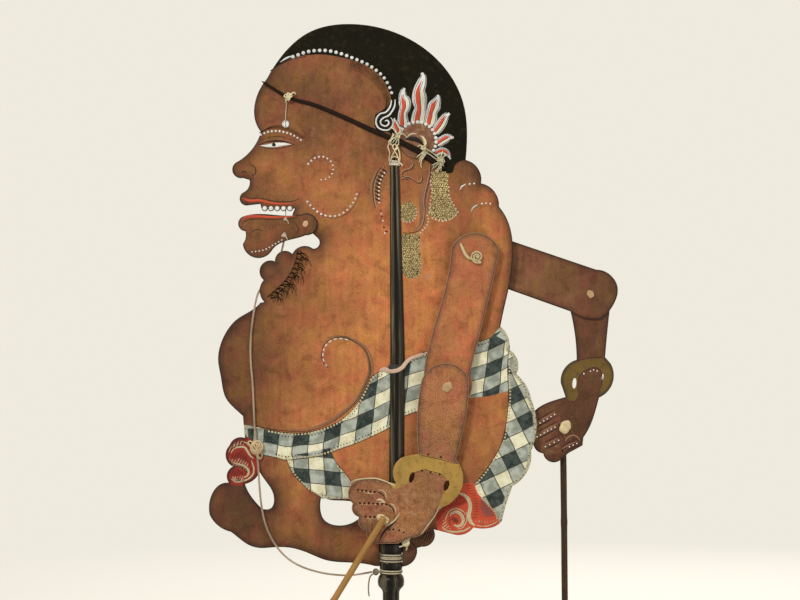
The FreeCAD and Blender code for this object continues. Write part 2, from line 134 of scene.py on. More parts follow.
def material_nodes(name, roughness, specular=0.5):
    """A new material, its node maker and its shader. make(kind, sockets, settings) adds a node
    whose input sockets take a value or another node's output."""
    material = bpy.data.materials.new(name)
    material.use_nodes = True
    tree = material.node_tree
    shader = tree.nodes["Principled BSDF"]
    shader.inputs["Roughness"].default_value = roughness
    shader.inputs["Specular IOR Level"].default_value = specular

    def make(kind, sockets=None, **settings):
        """Adds one node of this kind."""
        node = tree.nodes.new("ShaderNode" + kind)
        for key, value in settings.items():
            setattr(node, key, value)
        for key, value in (sockets or {}).items():
            if isinstance(value, bpy.types.NodeSocket):
                tree.links.new(value, node.inputs[key])
            else:
                node.inputs[key].default_value = value
        return node

    def finish(colour, rough, height, depth):
        """Links the outputs that make the shader's colour, its bump of this depth and, unless rough
        is None, its roughness."""
        tree.links.new(colour, shader.inputs["Base Color"])
        if rough is not None:
            tree.links.new(rough, shader.inputs["Roughness"])
        bump = make("Bump", {"Height": height, "Distance": depth, "Strength": 1.0})
        tree.links.new(bump.outputs["Normal"], shader.inputs["Normal"])
        return material

    return make, finish, shader


FLOOR_BELOW = 2.0 * MM           # the floor lies this far under the lowest rod tip
FLAT_OUT, BOWL_OUT, BOWL_HIGH = 3.4, 4.4, 4.0
PALE = (0.86, 0.825, 0.73, 1)

turn = full_turn(96)
arc = np.linspace(0, np.pi / 2, 17)
bend_r = BOWL_OUT - FLAT_OUT
bowl_r = np.concatenate(([0.0, 1.5], FLAT_OUT + bend_r * np.sin(arc), [BOWL_OUT]))
bowl_z = cad_low.z - FLOOR_BELOW + np.concatenate(
    ([0.0, 0.0], bend_r * (1 - np.cos(arc)), [BOWL_HIGH]))
bowl_points = np.stack((np.outer(bowl_r, np.cos(turn)), np.outer(bowl_r, np.sin(turn)),
                        np.outer(bowl_z, np.ones(len(turn)))), -1)
bowl = new_object("studio_floor", turned_mesh("studio_floor", bowl_points))
make, _, shader = material_nodes("pale_studio", 0.9)
shader.inputs["Base Color"].default_value = PALE
tree = shader.id_data
where = make("SeparateXYZ", {0: make("TexCoord").outputs["Object"]})
radius = make("Math", {0: make("Math", {0: where.outputs[0], 1: 2.0}, operation="POWER").outputs[0],
                       1: make("Math", {0: where.outputs[1], 1: 2.0}, operation="POWER").outputs[0]})
far = make("MapRange", {0: radius.outputs[0], 1: 1.0, 2: 4.0})
path = make("LightPath")
seen = make("Math", {0: path.outputs["Is Camera Ray"], 1: path.outputs["Is Glossy Ray"]})
seen = make("Math", {0: seen.outputs[0], 1: path.outputs["Is Transmission Ray"]}, use_clamp=True)
share = make("Math", {0: far.outputs[0], 1: seen.outputs[0]}, operation="MULTIPLY")
glow = make("Emission", {"Color": PALE, "Strength": 1.0})
both = make("MixShader", {0: share.outputs[0], 1: shader.outputs[0], 2: glow.outputs[0]})
tree.links.new(both.outputs[0], tree.nodes["Material Output"].inputs["Surface"])
bowl.data.materials.append(bpy.data.materials["pale_studio"])
bowl.visible_diffuse = False
bowl.visible_shadow = False

# ---- Pull cord ----
# Three-strand cotton cord of about 1.6 mm, tied to the chin, led behind the beard and out to the
# front at the top of the belly, then hanging free to the handle. The puppeteer pulls it to open
# the jaw. It is laid up from three twisted strands.
CORD_ROUTE = np.array([
    (-80, -2.3, 318.5), (-80, 1.5, 318.5), (-80.9, 2.6, 311), (-84.5, 2.6, 299), (-92.5, 2.6, 286.5),
    (-99.6, 1.8, 276.5), (-101.6, -1.2, 268), (-103, -2.5, 259.5), (-105, -2.5, 245), (-105.4, -2.3, 226),
    (-103.6, -2.4, 208), (-103, -2.3, 193), (-102.3, -2.6, 177), (-100.9, -2.8, 160), (-99.4, -3.1, 147),
    (-98.7, -3.2, 133), (-97.3, -3.1, 117), (-94.5, -3.2, 103), (-89.5, -3.3, 91), (-82.5, -3.2, 81),
    (-73.5, -3.1, 73.3), (-61.5, -2.9, 68), (-47, -2.6, 64.6), (-33, -2.2, 63.6), (-22.5, -1.6, 64.6),
    (-14.1, -0.9, 66.2)]) * MM
CORD_DIAMETER = 1.6 * MM
CORD_COTTON = (0.46, 0.335, 0.215, 1)


def nurbs_line(route):
    """The points of a third-order NURBS line with this route as its control points, as Blender
    divides it."""
    curve = bpy.data.curves.new("route", "CURVE")
    curve.dimensions = "3D"
    curve.resolution_u = 24
    spline = curve.splines.new("NURBS")
    spline.points.add(len(route) - 1)
    spline.points.foreach_set("co", np.column_stack((route, np.ones(len(route)))).ravel())
    spline.order_u = 3
    spline.use_endpoint_u = True
    holder = bpy.data.objects.new("route", curve)
    mesh = bpy.data.meshes.new_from_object(holder)
    found = np.empty(3 * len(mesh.vertices))
    mesh.vertices.foreach_get("co", found)
    bpy.data.objects.remove(holder)
    bpy.data.curves.remove(curve)
    bpy.data.meshes.remove(mesh)
    return found.reshape(-1, 3)


def how_far(line):
    """How far along the line each of its points lies."""
    return np.concatenate(([0.0], np.cumsum(np.linalg.norm(np.diff(line, axis=0), axis=1))))


def unit(vectors):
    """The vectors, each scaled to a length of one."""
    return vectors / np.linalg.norm(vectors, axis=-1)[..., None]


def even_steps(line, step):
    """The line again, with points one step apart along it, and how far along each one is."""
    reach = how_far(line)
    along = np.linspace(0, reach[-1], max(int(round(reach[-1] / step)) + 1, 3))
    return np.stack([np.interp(along, reach, line[:, k]) for k in range(3)], -1), along


def carried_frames(line):
    """Two unit vectors square to the line at each point. Each pair is the one before, turned just
    as far as the line turns, so that nothing twists."""
    ahead = unit(np.gradient(line, axis=0))
    side = np.cross(ahead[0], (0.31, 0.52, 0.79))
    sides = []
    for direction in ahead:
        side = side - direction * (side @ direction)
        side = side / np.linalg.norm(side)
        sides.append(side)
    sides = np.array(sides)
    return sides, np.cross(ahead, sides)


def rings_round(line, one, two, wide, deep, sides):
    """Rings of points round a line: ovals with the half sizes wide and deep along the unit vectors
    one and two. Each size is a number or one per point."""
    around = full_turn(sides)
    wide, deep = (np.broadcast_to(size, len(line))[:, None, None] for size in (wide, deep))
    return line[:, None] + (wide * one[:, None] * np.cos(around)[:, None]
                            + deep * two[:, None] * np.sin(around)[:, None])


PRESSED = 1.18                   # strands laid up under pull are thicker than round ones that touch


def twisted_strands(name, line, radius, strands, pitch, sides=9, step=0.45 * MM):
    """Strands wound round a line. Strand k is a round tube whose middle turns about the line once
    in each pitch, k parts of a turn on from the first. UV: u along in millimetres, v round."""
    line, along = even_steps(line, step)
    one, two = carried_frames(line)
    strand_r = PRESSED * radius * np.sin(np.pi / strands) / (1 + np.sin(np.pi / strands))
    off = radius - strand_r
    grids = []
    for k in range(strands):
        turned = 2 * np.pi * (along / pitch + k / strands)
        out = one * np.cos(turned)[:, None] + two * np.sin(turned)[:, None]
        middle = line + out * off
        grids.append(rings_round(middle, *carried_frames(middle), strand_r, strand_r, sides))
    return closed_tubes(name, grids), line


def closed_tubes(name, grids):
    """A mesh of tubes. Each grid is rings of points along a tube, and each end is closed by a
    fan to a point in the middle of its last ring. Where the signed volume inside a tube's faces
    comes out negative, its faces are turned round, so that all of them point outward."""
    points, faces, start = [], [], 0
    for grid in grids:
        nu, nv = grid.shape[:2]
        i, j = np.meshgrid(np.arange(nu - 1), np.arange(nv), indexing="ij")
        a, b = start + i * nv + j, start + i * nv + (j + 1) % nv
        quads = np.stack((a, b, b + nv, a + nv), -1).reshape(-1, 4)
        k = np.arange(nv)
        low, high = start + nu * nv, start + nu * nv + 1
        last = start + (nu - 1) * nv
        fans = np.concatenate((np.stack((np.full(nv, low), start + (k + 1) % nv, start + k), -1),
                               np.stack((np.full(nv, high), last + k, last + (k + 1) % nv), -1)))
        tube = np.concatenate((grid.reshape(-1, 3), grid[:1].mean(1), grid[-1:].mean(1)))
        first, second, third = (tube - tube.mean(0))[
            np.concatenate((quads[:, :3], quads[:, [0, 2, 3]], fans)).T - start]
        order = 1 if np.sum(first * np.cross(second, third)) > 0 else -1
        faces += quads[:, ::order].tolist() + fans[:, ::order].tolist()
        points.append(tube)
        start += nu * nv + 2
    mesh = bpy.data.meshes.new(name)
    mesh.from_pydata(np.concatenate(points).tolist(), [], faces)
    mesh.shade_smooth()
    return mesh


def lit(colour, share):
    """The colour, so many times as bright, and never over one."""
    return tuple(min(1.0, c * share) for c in colour[:3]) + (1,)


def tube_piece(name, grids, material):
    """One piece of closed tubes, whose places are in millimetres."""
    return new_object(name, closed_tubes(name, [grid * MM for grid in grids]), material)


def mixed(make, share, first, second):
    """The colour between first and second, each a colour or a node's output."""
    return make("Mix", {0: share, 6: first, 7: second}, data_type="RGBA").outputs[2]


def graded(make, value, low, high, first=0.0, last=1.0):
    """Runs evenly from first to last as the value goes from low to high, and stays level beyond."""
    return make("MapRange", {0: value, 1: low, 2: high, 3: first, 4: last}).outputs[0]


def noise(make, place, scale, detail, **more):
    """Noise with values about a half: so many clouds to the metre, with this much finer detail."""
    sockets = {"Vector": place, "Scale": scale, "Detail": detail}
    for name, value in more.items():
        sockets[name.capitalize()] = value
    return make("TexNoise", sockets).outputs[0]


def thread_material(name, colour, roughness=0.75, soil=0.55):
    """Spun fibre: fine streaks, darker hollows and patches of hand soil."""
    make, finish, shader = material_nodes(name, roughness)
    place = make("TexCoord").outputs["Object"]
    fibre = noise(make, place, 2600.0, 3.0)
    patches = noise(make, place, 55.0, 2.0)
    tint = mixed(make, graded(make, patches, 0.35, 0.6), lit(colour, soil), colour)
    hairs = mixed(make, graded(make, fibre, 0.45, 0.75), tint, lit(colour, 1.25))
    shader.inputs["Sheen Weight"].default_value = 0.25
    shader.inputs["Sheen Roughness"].default_value = 0.5
    return finish(hairs, None, fibre, 0.05 * MM)


cotton = thread_material("cotton_cord", CORD_COTTON)
cord_line = nurbs_line(CORD_ROUTE)
mesh, cord_path = twisted_strands("pull_cord_strands", cord_line, CORD_DIAMETER / 2, 3, 4.6 * MM)
pull_cord = new_object("pull_cord_strands", mesh, cotton)
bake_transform(pull_cord)
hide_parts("pull_cord")

# ---- Figure ----
# One sheet of buffalo rawhide, 1.5 mm thick, cut out with a chisel, its cut edge eased, and
# painted alike on both faces. The skin is ochre red, darker towards every cut edge.
HIDE = 1.5
EASED = 0.3                      # radius of the eased edge
EDGE_STEP = 1.1                  # distance between the points along a cut edge
FIGURE_GRID = 3.2                # distance between the points inside the sheet
TRIANGLE_ROW = 0.866             # height of an even triangle, over its side
FIELD_STEP = 1.4                 # distance between the points round a painted field
RIM_ROWS = ((EASED, 1), (1.1, 1), (2.4, 2))  # rows beside a cut: how far in, and one point of how many
CORNER = 0.4                     # an outline that turns by more than this, in radians, has a corner
LARGE = 8                        # an opening this wide is an edge for the shading too
AT_ONCE = 1500                   # points worked out at a time, to spare memory


def cut_edges(node):
    """The cut edges of a flat hide in its own plane, as (x, z) in millimetres: the closed loops
    round the front face of a merged copy of the node's mesh, the longest loop first."""
    copy = bmesh.new()
    copy.from_mesh(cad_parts[node].data)
    bmesh.ops.remove_doubles(copy, verts=copy.verts, dist=1e-6)
    front = min(v.co.y for v in copy.verts)
    cap = [f for f in copy.faces if all(abs(v.co.y - front) < 1e-6 for v in f.verts)]
    capped = set(cap)
    following = {}
    for face in cap:
        for corner in face.loops:
            if sum(f in capped for f in corner.edge.link_faces) == 1:
                following[corner.vert] = corner.link_loop_next.vert
    loops = []
    while following:
        here, vert = [], next(iter(following))
        while vert in following:
            here.append((vert.co.x / MM, vert.co.z / MM))
            vert = following.pop(vert)
        loops.append(np.array(here))
    copy.free()
    return sorted(loops, key=lambda loop: -np.ptp(loop, axis=0).sum())


def even_loop(loop, step):
    """The loop with its corners kept and points about one step apart between them, turning left."""
    x, z = loop.T
    if np.sum(x * np.roll(z, -1) - z * np.roll(x, -1)) < 0:
        loop = loop[::-1]
    ahead = np.roll(loop, -1, 0) - loop
    heading = np.arctan2(ahead[:, 1], ahead[:, 0])
    turned = (heading - np.roll(heading, 1) + np.pi) % (2 * np.pi) - np.pi
    corners = np.flatnonzero(np.abs(turned) > CORNER)
    if not len(corners):
        corners = np.array([0])
    loop = np.roll(loop, -corners[0], 0)
    closed = np.vstack((loop, loop[:1]))
    reach = how_far(closed)
    marks = reach[np.append(corners - corners[0], len(loop))]
    along = np.concatenate([np.linspace(a, b, max(int(np.ceil((b - a) / step)), 1), endpoint=False)
                            for a, b in zip(marks, marks[1:])])
    return np.stack([np.interp(along, reach, closed[:, k]) for k in range(2)], -1)


def nearest_on(points, loops):
    """Each point's distance to the nearest edge of the loops: to the foot of the perpendicular on
    an edge, kept between that edge's ends."""
    a = np.concatenate(loops)
    ahead = np.concatenate([np.roll(loop, -1, 0) for loop in loops]) - a
    size = np.maximum((ahead ** 2).sum(1), 1e-12)
    found = np.empty(len(points))
    for start in range(0, len(points), AT_ONCE):
        off = points[start:start + AT_ONCE, None] - a
        share = np.clip((off * ahead).sum(-1) / size, 0, 1)
        gap = off - share[..., None] * ahead
        found[start:start + AT_ONCE] = np.sqrt((gap ** 2).sum(-1).min(1))
    return found


def is_inside(points, loop):
    """True where a line drawn from the point to the right crosses the loop an odd number of times."""
    a, b = loop, np.roll(loop, -1, 0)
    found = np.zeros(len(points), bool)
    for start in range(0, len(points), AT_ONCE):
        x, z = points[start:start + AT_ONCE, None].transpose(2, 0, 1)
        spans = (a[:, 1] > z) != (b[:, 1] > z)
        rise = np.where(a[:, 1] == b[:, 1], 1.0, b[:, 1] - a[:, 1])
        cross = a[:, 0] + (z - a[:, 1]) / rise * (b[:, 0] - a[:, 0])
        found[start:start + AT_ONCE] = (spans & (x < cross)).sum(1) % 2 == 1
    return found


def smooth_line(points, step, closed=False):
    """A smooth line through points: between two of them a cubic whose slope at each point is the
    run from the point before to the point after, halved."""
    p = np.asarray(points, float)
    if closed:
        before, after, ends = np.roll(p, 1, 0), np.roll(p, -1, 0), np.roll(p, -1, 0)
        starts, slope_a = p, (after - before) / 2
        slope_b = np.roll(slope_a, -1, 0)
    else:
        slope = np.gradient(p, axis=0)
        starts, ends, slope_a, slope_b = p[:-1], p[1:], slope[:-1], slope[1:]
    t = np.linspace(0, 1, 24, endpoint=False)[:, None, None]
    line = ((2 * t ** 3 - 3 * t ** 2 + 1) * starts + (t ** 3 - 2 * t ** 2 + t) * slope_a
            + (-2 * t ** 3 + 3 * t ** 2) * ends + (t ** 3 - t ** 2) * slope_b)
    line = np.swapaxes(line, 0, 1).reshape(-1, p.shape[1])
    line = np.vstack((line, p[:1] if closed else p[-1:]))
    reach = how_far(line)
    along = np.linspace(0, reach[-1], max(int(reach[-1] / step), 2) + 1)
    even = np.stack([np.interp(along, reach, line[:, k]) for k in range(line.shape[1])], -1)
    return even[:-1] if closed else even


def left_of(ahead):
    """Unit vectors to the left of each of the given ways in the plane of the hide."""
    return np.stack((-ahead[:, 1], ahead[:, 0]), -1) / np.linalg.norm(ahead, axis=1)[:, None]


def hide_sheet(name, node, materials, zones=(), holes=(), grid=FIGURE_GRID, mid=0.0, thick=HIDE):
    """A flat hide with its node's cut edge. Inside the edge lies a triangular grid, and each
    point's height on either face is half the thickness, less an eased edge: a quarter circle of
    its distance from the cut. A zone (loop, material index, uv function) is painted differently.
    The attribute rim is the distance from the nearest cut in millimetres, and inland that from
    the outline or a large opening."""
    loops = [even_loop(loop, EDGE_STEP) for loop in cut_edges(node)]
    loops += [even_loop(hole, EDGE_STEP) for hole in holes]
    low, high = loops[0].min(0), loops[0].max(0)
    x, z = np.meshgrid(np.arange(low[0], high[0], grid), np.arange(low[1], high[1], grid * TRIANGLE_ROW))
    x = x + grid / 2 * (np.arange(len(x)) % 2)[:, None]
    inner = [(np.stack((x.ravel(), z.ravel()), -1), 0.5 * grid)]
    for off, take in RIM_ROWS:
        for loop in loops:
            left = left_of(np.roll(loop, -1, 0) - np.roll(loop, 1, 0))
            side = 1 if loop is loops[0] else -1
            inner.append(((loop + side * off * left)[::take], 0.85 * off))
    kept = []
    for points, least in inner:
        points = points[is_inside(points, loops[0])]
        kept.append(points[nearest_on(points, loops) > least])
    painted = [even_loop(np.asarray(zone[0]), FIELD_STEP) for zone in zones]
    outlines = loops + painted
    starts = np.cumsum([0] + [len(o) for o in outlines])
    flat = np.concatenate(outlines + kept)
    rings = [list(range(a, a + len(o))) for a, o in zip(starts, outlines)]
    verts, _, tris, _, _, members = delaunay_2d_cdt(
        [Vector(p) for p in flat.tolist()], [], rings, 0, 1e-5)
    flat = np.array([tuple(v) for v in verts])
    cut_count = len(loops)
    keep = [k for k, owners in enumerate(members)
            if 0 in owners and not any(0 < o < cut_count for o in owners)]
    tris = np.array([tris[k] for k in keep])
    zone_of = np.array([max([o - cut_count + 1 for o in members[k] if o >= cut_count], default=0)
                        for k in keep])
    used, tris = np.unique(tris, return_inverse=True)
    flat, tris = flat[used], tris.reshape(-1, 3)
    p, q, r = flat[tris[:, 0]], flat[tris[:, 1]], flat[tris[:, 2]]
    turning = (q[:, 0] - p[:, 0]) * (r[:, 1] - p[:, 1]) - (q[:, 1] - p[:, 1]) * (r[:, 0] - p[:, 0])
    tris = np.where(turning[:, None] > 0, tris, tris[:, ::-1])
    rim = nearest_on(flat, loops)
    drop = EASED * (1 - np.sqrt(1 - (1 - np.clip(rim / EASED, 0, 1)) ** 2))
    height = thick / 2 - drop
    front = np.stack((flat[:, 0], mid - height, flat[:, 1]), -1)
    back = np.stack((flat[:, 0], mid + height, flat[:, 1]), -1)
    n = len(flat)
    sides = np.concatenate((tris[:, [0, 1]], tris[:, [1, 2]], tris[:, [2, 0]]))
    codes = sides[:, 0].astype(np.int64) * n + sides[:, 1]
    open_side = ~np.isin(codes, sides[:, 1].astype(np.int64) * n + sides[:, 0])
    a, b = sides[open_side].T
    owner = np.tile(np.arange(len(tris)), 3)[open_side]
    faces = tris.tolist() + (tris[:, ::-1] + n).tolist() + np.stack((b, a, a + n, b + n), -1).tolist()
    mesh = bpy.data.meshes.new(name)
    mesh.from_pydata((np.concatenate((front, back)) * MM).tolist(), [], faces)
    index = np.array([0] + [zone[1] for zone in zones])[zone_of]
    mesh.polygons.foreach_set("material_index", np.concatenate((index, index, index[owner])))
    large = [loop for loop in loops if np.ptp(loop, axis=0).min() > LARGE]
    for attribute, values in (("rim", rim), ("inland", nearest_on(flat, large))):
        mesh.attributes.new(attribute, "FLOAT", "POINT").data.foreach_set(
            "value", np.tile(values, 2).astype(np.float32))
    corner = np.empty(len(mesh.loops), np.int32)
    mesh.loops.foreach_get("vertex_index", corner)
    corner_zone = np.concatenate((np.repeat(zone_of, 3), np.repeat(zone_of, 3),
                                  np.repeat(zone_of[owner], 4)))
    uv = flat[corner % n] * 1.0
    for k, zone in enumerate(zones, 1):
        if zone[2] is not None and (corner_zone == k).any():
            uv[corner_zone == k] = zone[2](flat[corner % n][corner_zone == k])
    mesh.uv_layers.new(name="paint").uv.foreach_set("vector", uv.astype(np.float32).ravel())
    mesh.shade_smooth()
    made = new_object(name, mesh, *materials)
    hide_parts(node)
    return made


def ramp(make, value, low, high, first=0.0, last=1.0):
    """First below low, last above high, and a smooth rise between."""
    return make("MapRange", {0: value, 1: low, 2: high, 3: first, 4: last},
                interpolation_type="SMOOTHSTEP").outputs[0]


def laid(make, name):
    """The value of a mesh's attribute."""
    return make("Attribute", attribute_name=name).outputs["Fac"]


def stretched(make, place, scale):
    """The place, multiplied by a scale along each axis."""
    return make("Mapping", {"Vector": place, "Scale": scale}).outputs[0]


def joined_values(make, operation, *values, **settings):
    """The values put together by a node of this operation."""
    return make("Math", dict(enumerate(values)), operation=operation, **settings).outputs[0]


def times(make, first, second):
    """The product of two values."""
    return joined_values(make, "MULTIPLY", first, second)


def tinted(make, colour, tint):
    """The colour multiplied by a tint, channel by channel."""
    return make("Mix", {0: 1.0, 6: colour, 7: (*tint, 1)}, data_type="RGBA",
                blend_type="MULTIPLY").outputs[2]


RUBBED = (0.42, 0.26, 0.13, 1)
DRAWN_AND_HOLE_SHADE = (0.018, 0.01, 0.006, 1)     # the dark drawn line along an edge, and the painted shade round a punched hole


def hide_material(name, warm, dusk, pale=None, fade=(0.5, 14.0), line_at=(0.0, 0.75), least=0.45,
                  sunk=0.0, sandy=0.4):
    """Painted and varnished rawhide. Warm in the middle of a field and dusky towards the outline,
    where the least share of warmth is left, with a dark drawn line beside it and, on the arms, a
    pale scraped rim outside the line. A punched hole gets painted shade round its edge and on its
    wall, so that it looks dark. Clouds, rosy and ochre blotches, brush-wide patches, upright strokes
    of the brush and specks break up the colour, sandy says how much its finest grain does, and
    where the attribute wear is high the paint is rubbed into pale and dark flecks. Soot sinks in
    along the cut, by the share sunk. Fine grain shows in the gloss."""
    make, finish, _ = material_nodes(name, 0.5, 0.22)
    place = make("TexCoord").outputs["Object"]
    rim, inland, warmth, wear = (laid(make, value) for value in ("rim", "inland", "warmth", "wear"))
    clouds = noise(make, place, 26.0, 3.0)
    patches = noise(make, place, 95.0, 5.0, roughness=0.6, distortion=0.6)
    strokes = noise(make, stretched(make, place, (330.0, 330.0, 38.0)), 1.0, 3.0)
    specks = noise(make, place, 520.0, 2.0)
    flecks = noise(make, place, 230.0, 5.0, roughness=0.72)
    grain = noise(make, place, 1900.0, 3.0)
    fine = noise(make, place, 1100.0, 2.0)
    tints = noise(make, place, 68.0, 4.0)
    kept = ramp(make, inland, *fade, least)
    shaded = joined_values(make, "ADD", times(make, kept, warmth),
                           graded(make, clouds, 0.3, 0.7, -0.17, 0.17), use_clamp=True)
    ground = mixed(make, shaded, dusk, warm)
    for low, high, tint in ((0.48, 0.6, (1.03, 0.87, 0.98)), (0.48, 0.36, (1.0, 1.05, 0.86))):
        ground = mixed(make, ramp(make, tints, low, high), ground, tinted(make, ground, tint))
    darker = tinted(make, ground, (0.6, 0.55, 0.52))
    lighter = tinted(make, ground, (1.3, 1.34, 1.4))
    for value, low, high, share, other in (
            (patches, 0.5, 0.68, 0.8, darker), (patches, 0.48, 0.32, 0.8, lighter),
            (strokes, 0.53, 0.7, 0.36, darker), (strokes, 0.46, 0.3, 0.36, lighter),
            (specks, 0.6, 0.74, 0.6, darker),
            (fine, 0.52, 0.66, sandy, darker), (fine, 0.48, 0.34, sandy, lighter),
            (flecks, 0.52, 0.62, wear, darker), (flecks, 0.48, 0.34, wear, RUBBED)):
        ground = mixed(make, times(make, ramp(make, value, low, high), share), ground, other)
    soot = ramp(make, inland, 5.5, 0.8, last=sunk)
    ground = mixed(make, soot, ground, tinted(make, ground, (0.34, 0.28, 0.26)))
    edge = graded(make, inland, line_at[0], line_at[0] + 0.15)
    past = graded(make, inland, line_at[1] + 0.35, line_at[1])
    line_share = times(make, edge, past) if line_at[0] > 0 else past
    colour = mixed(make, times(make, line_share, 0.86), ground, DRAWN_AND_HOLE_SHADE)
    if pale is not None:
        outside = graded(make, inland, line_at[0], line_at[0] - 0.3)
        colour = mixed(make, times(make, outside, 0.5), colour, pale)
    # Painted shade: a dark ring round each small punched hole and on its wall, so that the hole looks
    # dark.
    hole_shade = times(make, graded(make, rim, 0.35, 0.12), graded(make, inland, 1.2, 1.6))
    colour = mixed(make, times(make, hole_shade, 0.9), colour, DRAWN_AND_HOLE_SHADE)
    gloss = graded(make, patches, 0.3, 0.7, 0.42, 0.6)
    height = joined_values(make, "ADD", grain, times(make, specks, 1.6))
    return finish(colour, gloss, height, 0.05 * MM)


SKIN_WARM = (0.6, 0.222, 0.065, 1)
SKIN_DUSK = (0.1, 0.043, 0.017, 1)
skin = hide_material("skin_paint", SKIN_WARM, SKIN_DUSK, sunk=0.55)


def paint_material(name, colour, worn, amount, roughness=0.5, stipple=0.0, specular=0.3,
                   edge=None):
    """Brushed paint: the colour, worn through to another in small patches and specks. A stipple is
    gold leaf laid on punched hide: bright dots with dark hollows. An edge is a darker colour that
    the paint sinks to along the cut edge of the hide."""
    make, finish, _ = material_nodes(name, roughness, specular)
    place = make("TexCoord").outputs["Object"]
    patches = noise(make, place, 240.0, 5.0)
    specks = noise(make, place, 1300.0, 2.0)
    shade = noise(make, place, 40.0, 2.0)
    ground = mixed(make, ramp(make, shade, 0.35, 0.65), lit(colour, 0.72), colour)
    ground = mixed(make, times(make, ramp(make, patches, 0.52, 0.7), amount), ground, worn)
    ground = mixed(make, times(make, ramp(make, specks, 0.6, 0.72), amount), ground, worn)
    height = specks
    if edge is not None:
        near = ramp(make, laid(make, "inland"), 3.2, 0.3)
        ground = mixed(make, times(make, near, 0.92), ground, edge)
    if stipple:
        cells = make("TexVoronoi", {"Vector": place, "Scale": stipple}).outputs["Distance"]
        ground = mixed(make, times(make, ramp(make, cells, 0.38, 0.62), 0.75), ground, worn)
        height = joined_values(make, "SUBTRACT", 1.0, cells)
    return finish(ground, None, height, (0.3 if stipple else 0.06) * MM)


hair_black = paint_material("hair_black", (0.0095, 0.008, 0.0022, 1), (0.032, 0.023, 0.01, 1), 0.5,
                            0.55, specular=0.08)
bone_white = paint_material("bone_white", (0.86, 0.84, 0.76, 1), (0.55, 0.47, 0.36, 1), 0.25)
line_black = paint_material("line_black", (0.016, 0.012, 0.008, 1), (0.07, 0.045, 0.03, 1), 0.35,
                            specular=0.2)
cream = paint_material("cream_paint", (0.72, 0.6, 0.34, 1), (0.34, 0.23, 0.11, 1), 0.45)
vermilion = paint_material("vermilion", (0.66, 0.085, 0.03, 1), (0.28, 0.045, 0.025, 1), 0.4)
deep_red = paint_material("deep_red", (0.42, 0.042, 0.022, 1), (0.16, 0.028, 0.018, 1), 0.5,
                          specular=0.2, edge=(0.035, 0.011, 0.007, 1))
maroon = paint_material("maroon", (0.1, 0.014, 0.008, 1), (0.22, 0.035, 0.015, 1), 0.4)
buff = paint_material("buff_paint", (0.56, 0.34, 0.2, 1), (0.34, 0.17, 0.09, 1), 0.5)
taupe = paint_material("taupe_paint", (0.33, 0.16, 0.082, 1), (0.2, 0.1, 0.055, 1), 0.5)
gold_leaf = paint_material("gold_leaf", (0.47, 0.275, 0.058, 1), (0.22, 0.125, 0.022, 1), 0.7, 0.4)
dull_gold = paint_material("dull_gold", (0.175, 0.1, 0.016, 1), (0.085, 0.055, 0.012, 1), 0.7, 0.45,
                           edge=(0.04, 0.022, 0.01, 1))
gold_ground = paint_material("gold_ground", (0.37, 0.25, 0.085, 1), (0.15, 0.09, 0.03, 1), 0.6, 0.4,
                             640.0)
bright_gold = paint_material("bright_gold", (0.74, 0.6, 0.27, 1), (0.42, 0.32, 0.11, 1), 0.5, 0.4)
blush = paint_material("blush_paint", (0.84, 0.62, 0.43, 1), (0.5, 0.3, 0.17, 1), 0.4)


CELL = 11.5                      # side of a square of the cloth


def check_material(name):
    """Poleng cloth, painted: squares of dark blue-grey, mid grey and cream, where dark stripes of
    the one direction cross dark stripes of the other, each square ruled off by a fine dark line.
    It follows the uv map, whose unit is a millimetre, u along the cloth and v across it. Along the
    cut edge a narrow buff border is dotted with dark stitches."""
    make, finish, _ = material_nodes(name, 0.6, 0.2)
    uv = make("UVMap", uv_map="paint").outputs[0]
    place = make("TexCoord").outputs["Object"]
    wobble = make("TexNoise", {"Vector": place, "Scale": 90.0, "Detail": 1.0}).outputs["Color"]
    shift = make("VectorMath", {0: wobble, 1: (0.5, 0.5, 0.5)}, operation="SUBTRACT").outputs[0]
    moved = make("VectorMath", {0: shift, "Scale": 1.6}, operation="SCALE").outputs[0]
    across = make("SeparateXYZ", {0: make("VectorMath", {0: uv, 1: moved}).outputs[0]})
    dark, ruled = [], []
    for axis in (0, 1):
        part = joined_values(make, "DIVIDE", across.outputs[axis], 2 * CELL)
        wave = joined_values(make, "FRACT", part)
        dark.append(joined_values(make, "LESS_THAN", wave, 0.5))
        half = joined_values(make, "FRACT", times(make, wave, 2.0))
        off = joined_values(make, "ABSOLUTE", joined_values(make, "SUBTRACT", half, 0.5))
        ruled.append(joined_values(make, "GREATER_THAN", off, 0.5 - 0.36 / CELL))
    both = times(make, *dark)
    either = joined_values(make, "MAXIMUM", *dark)
    specks = noise(make, place, 900.0, 3.0)
    wash = noise(make, place, 130.0, 3.0)
    pale, grey, deep = (mixed(make, ramp(make, wash, 0.4, 0.62), *pair) for pair in (
        ((0.76, 0.7, 0.44, 1), (0.93, 0.87, 0.6, 1)), ((0.29, 0.31, 0.24, 1), (0.5, 0.52, 0.42, 1)),
        ((0.02, 0.03, 0.026, 1), (0.055, 0.074, 0.06, 1))))
    colour = mixed(make, both, mixed(make, either, pale, grey), deep)
    colour = mixed(make, times(make, ramp(make, specks, 0.56, 0.7), 0.4), colour, (0.2, 0.19, 0.15, 1))
    line = joined_values(make, "MAXIMUM", *ruled)
    colour = mixed(make, times(make, line, 0.9), colour, (0.035, 0.035, 0.025, 1))
    border = graded(make, laid(make, "inland"), 2.7, 2.3)
    ticks = make("TexVoronoi", {"Vector": place, "Scale": 620.0}).outputs["Distance"]
    stitched = mixed(make, ramp(make, ticks, 0.42, 0.26), (0.5, 0.46, 0.3, 1), (0.07, 0.065, 0.045, 1))
    colour = mixed(make, times(make, border, 0.85), colour, stitched)
    return finish(colour, None, specks, 0.06 * MM)


poleng = check_material("poleng_paint")

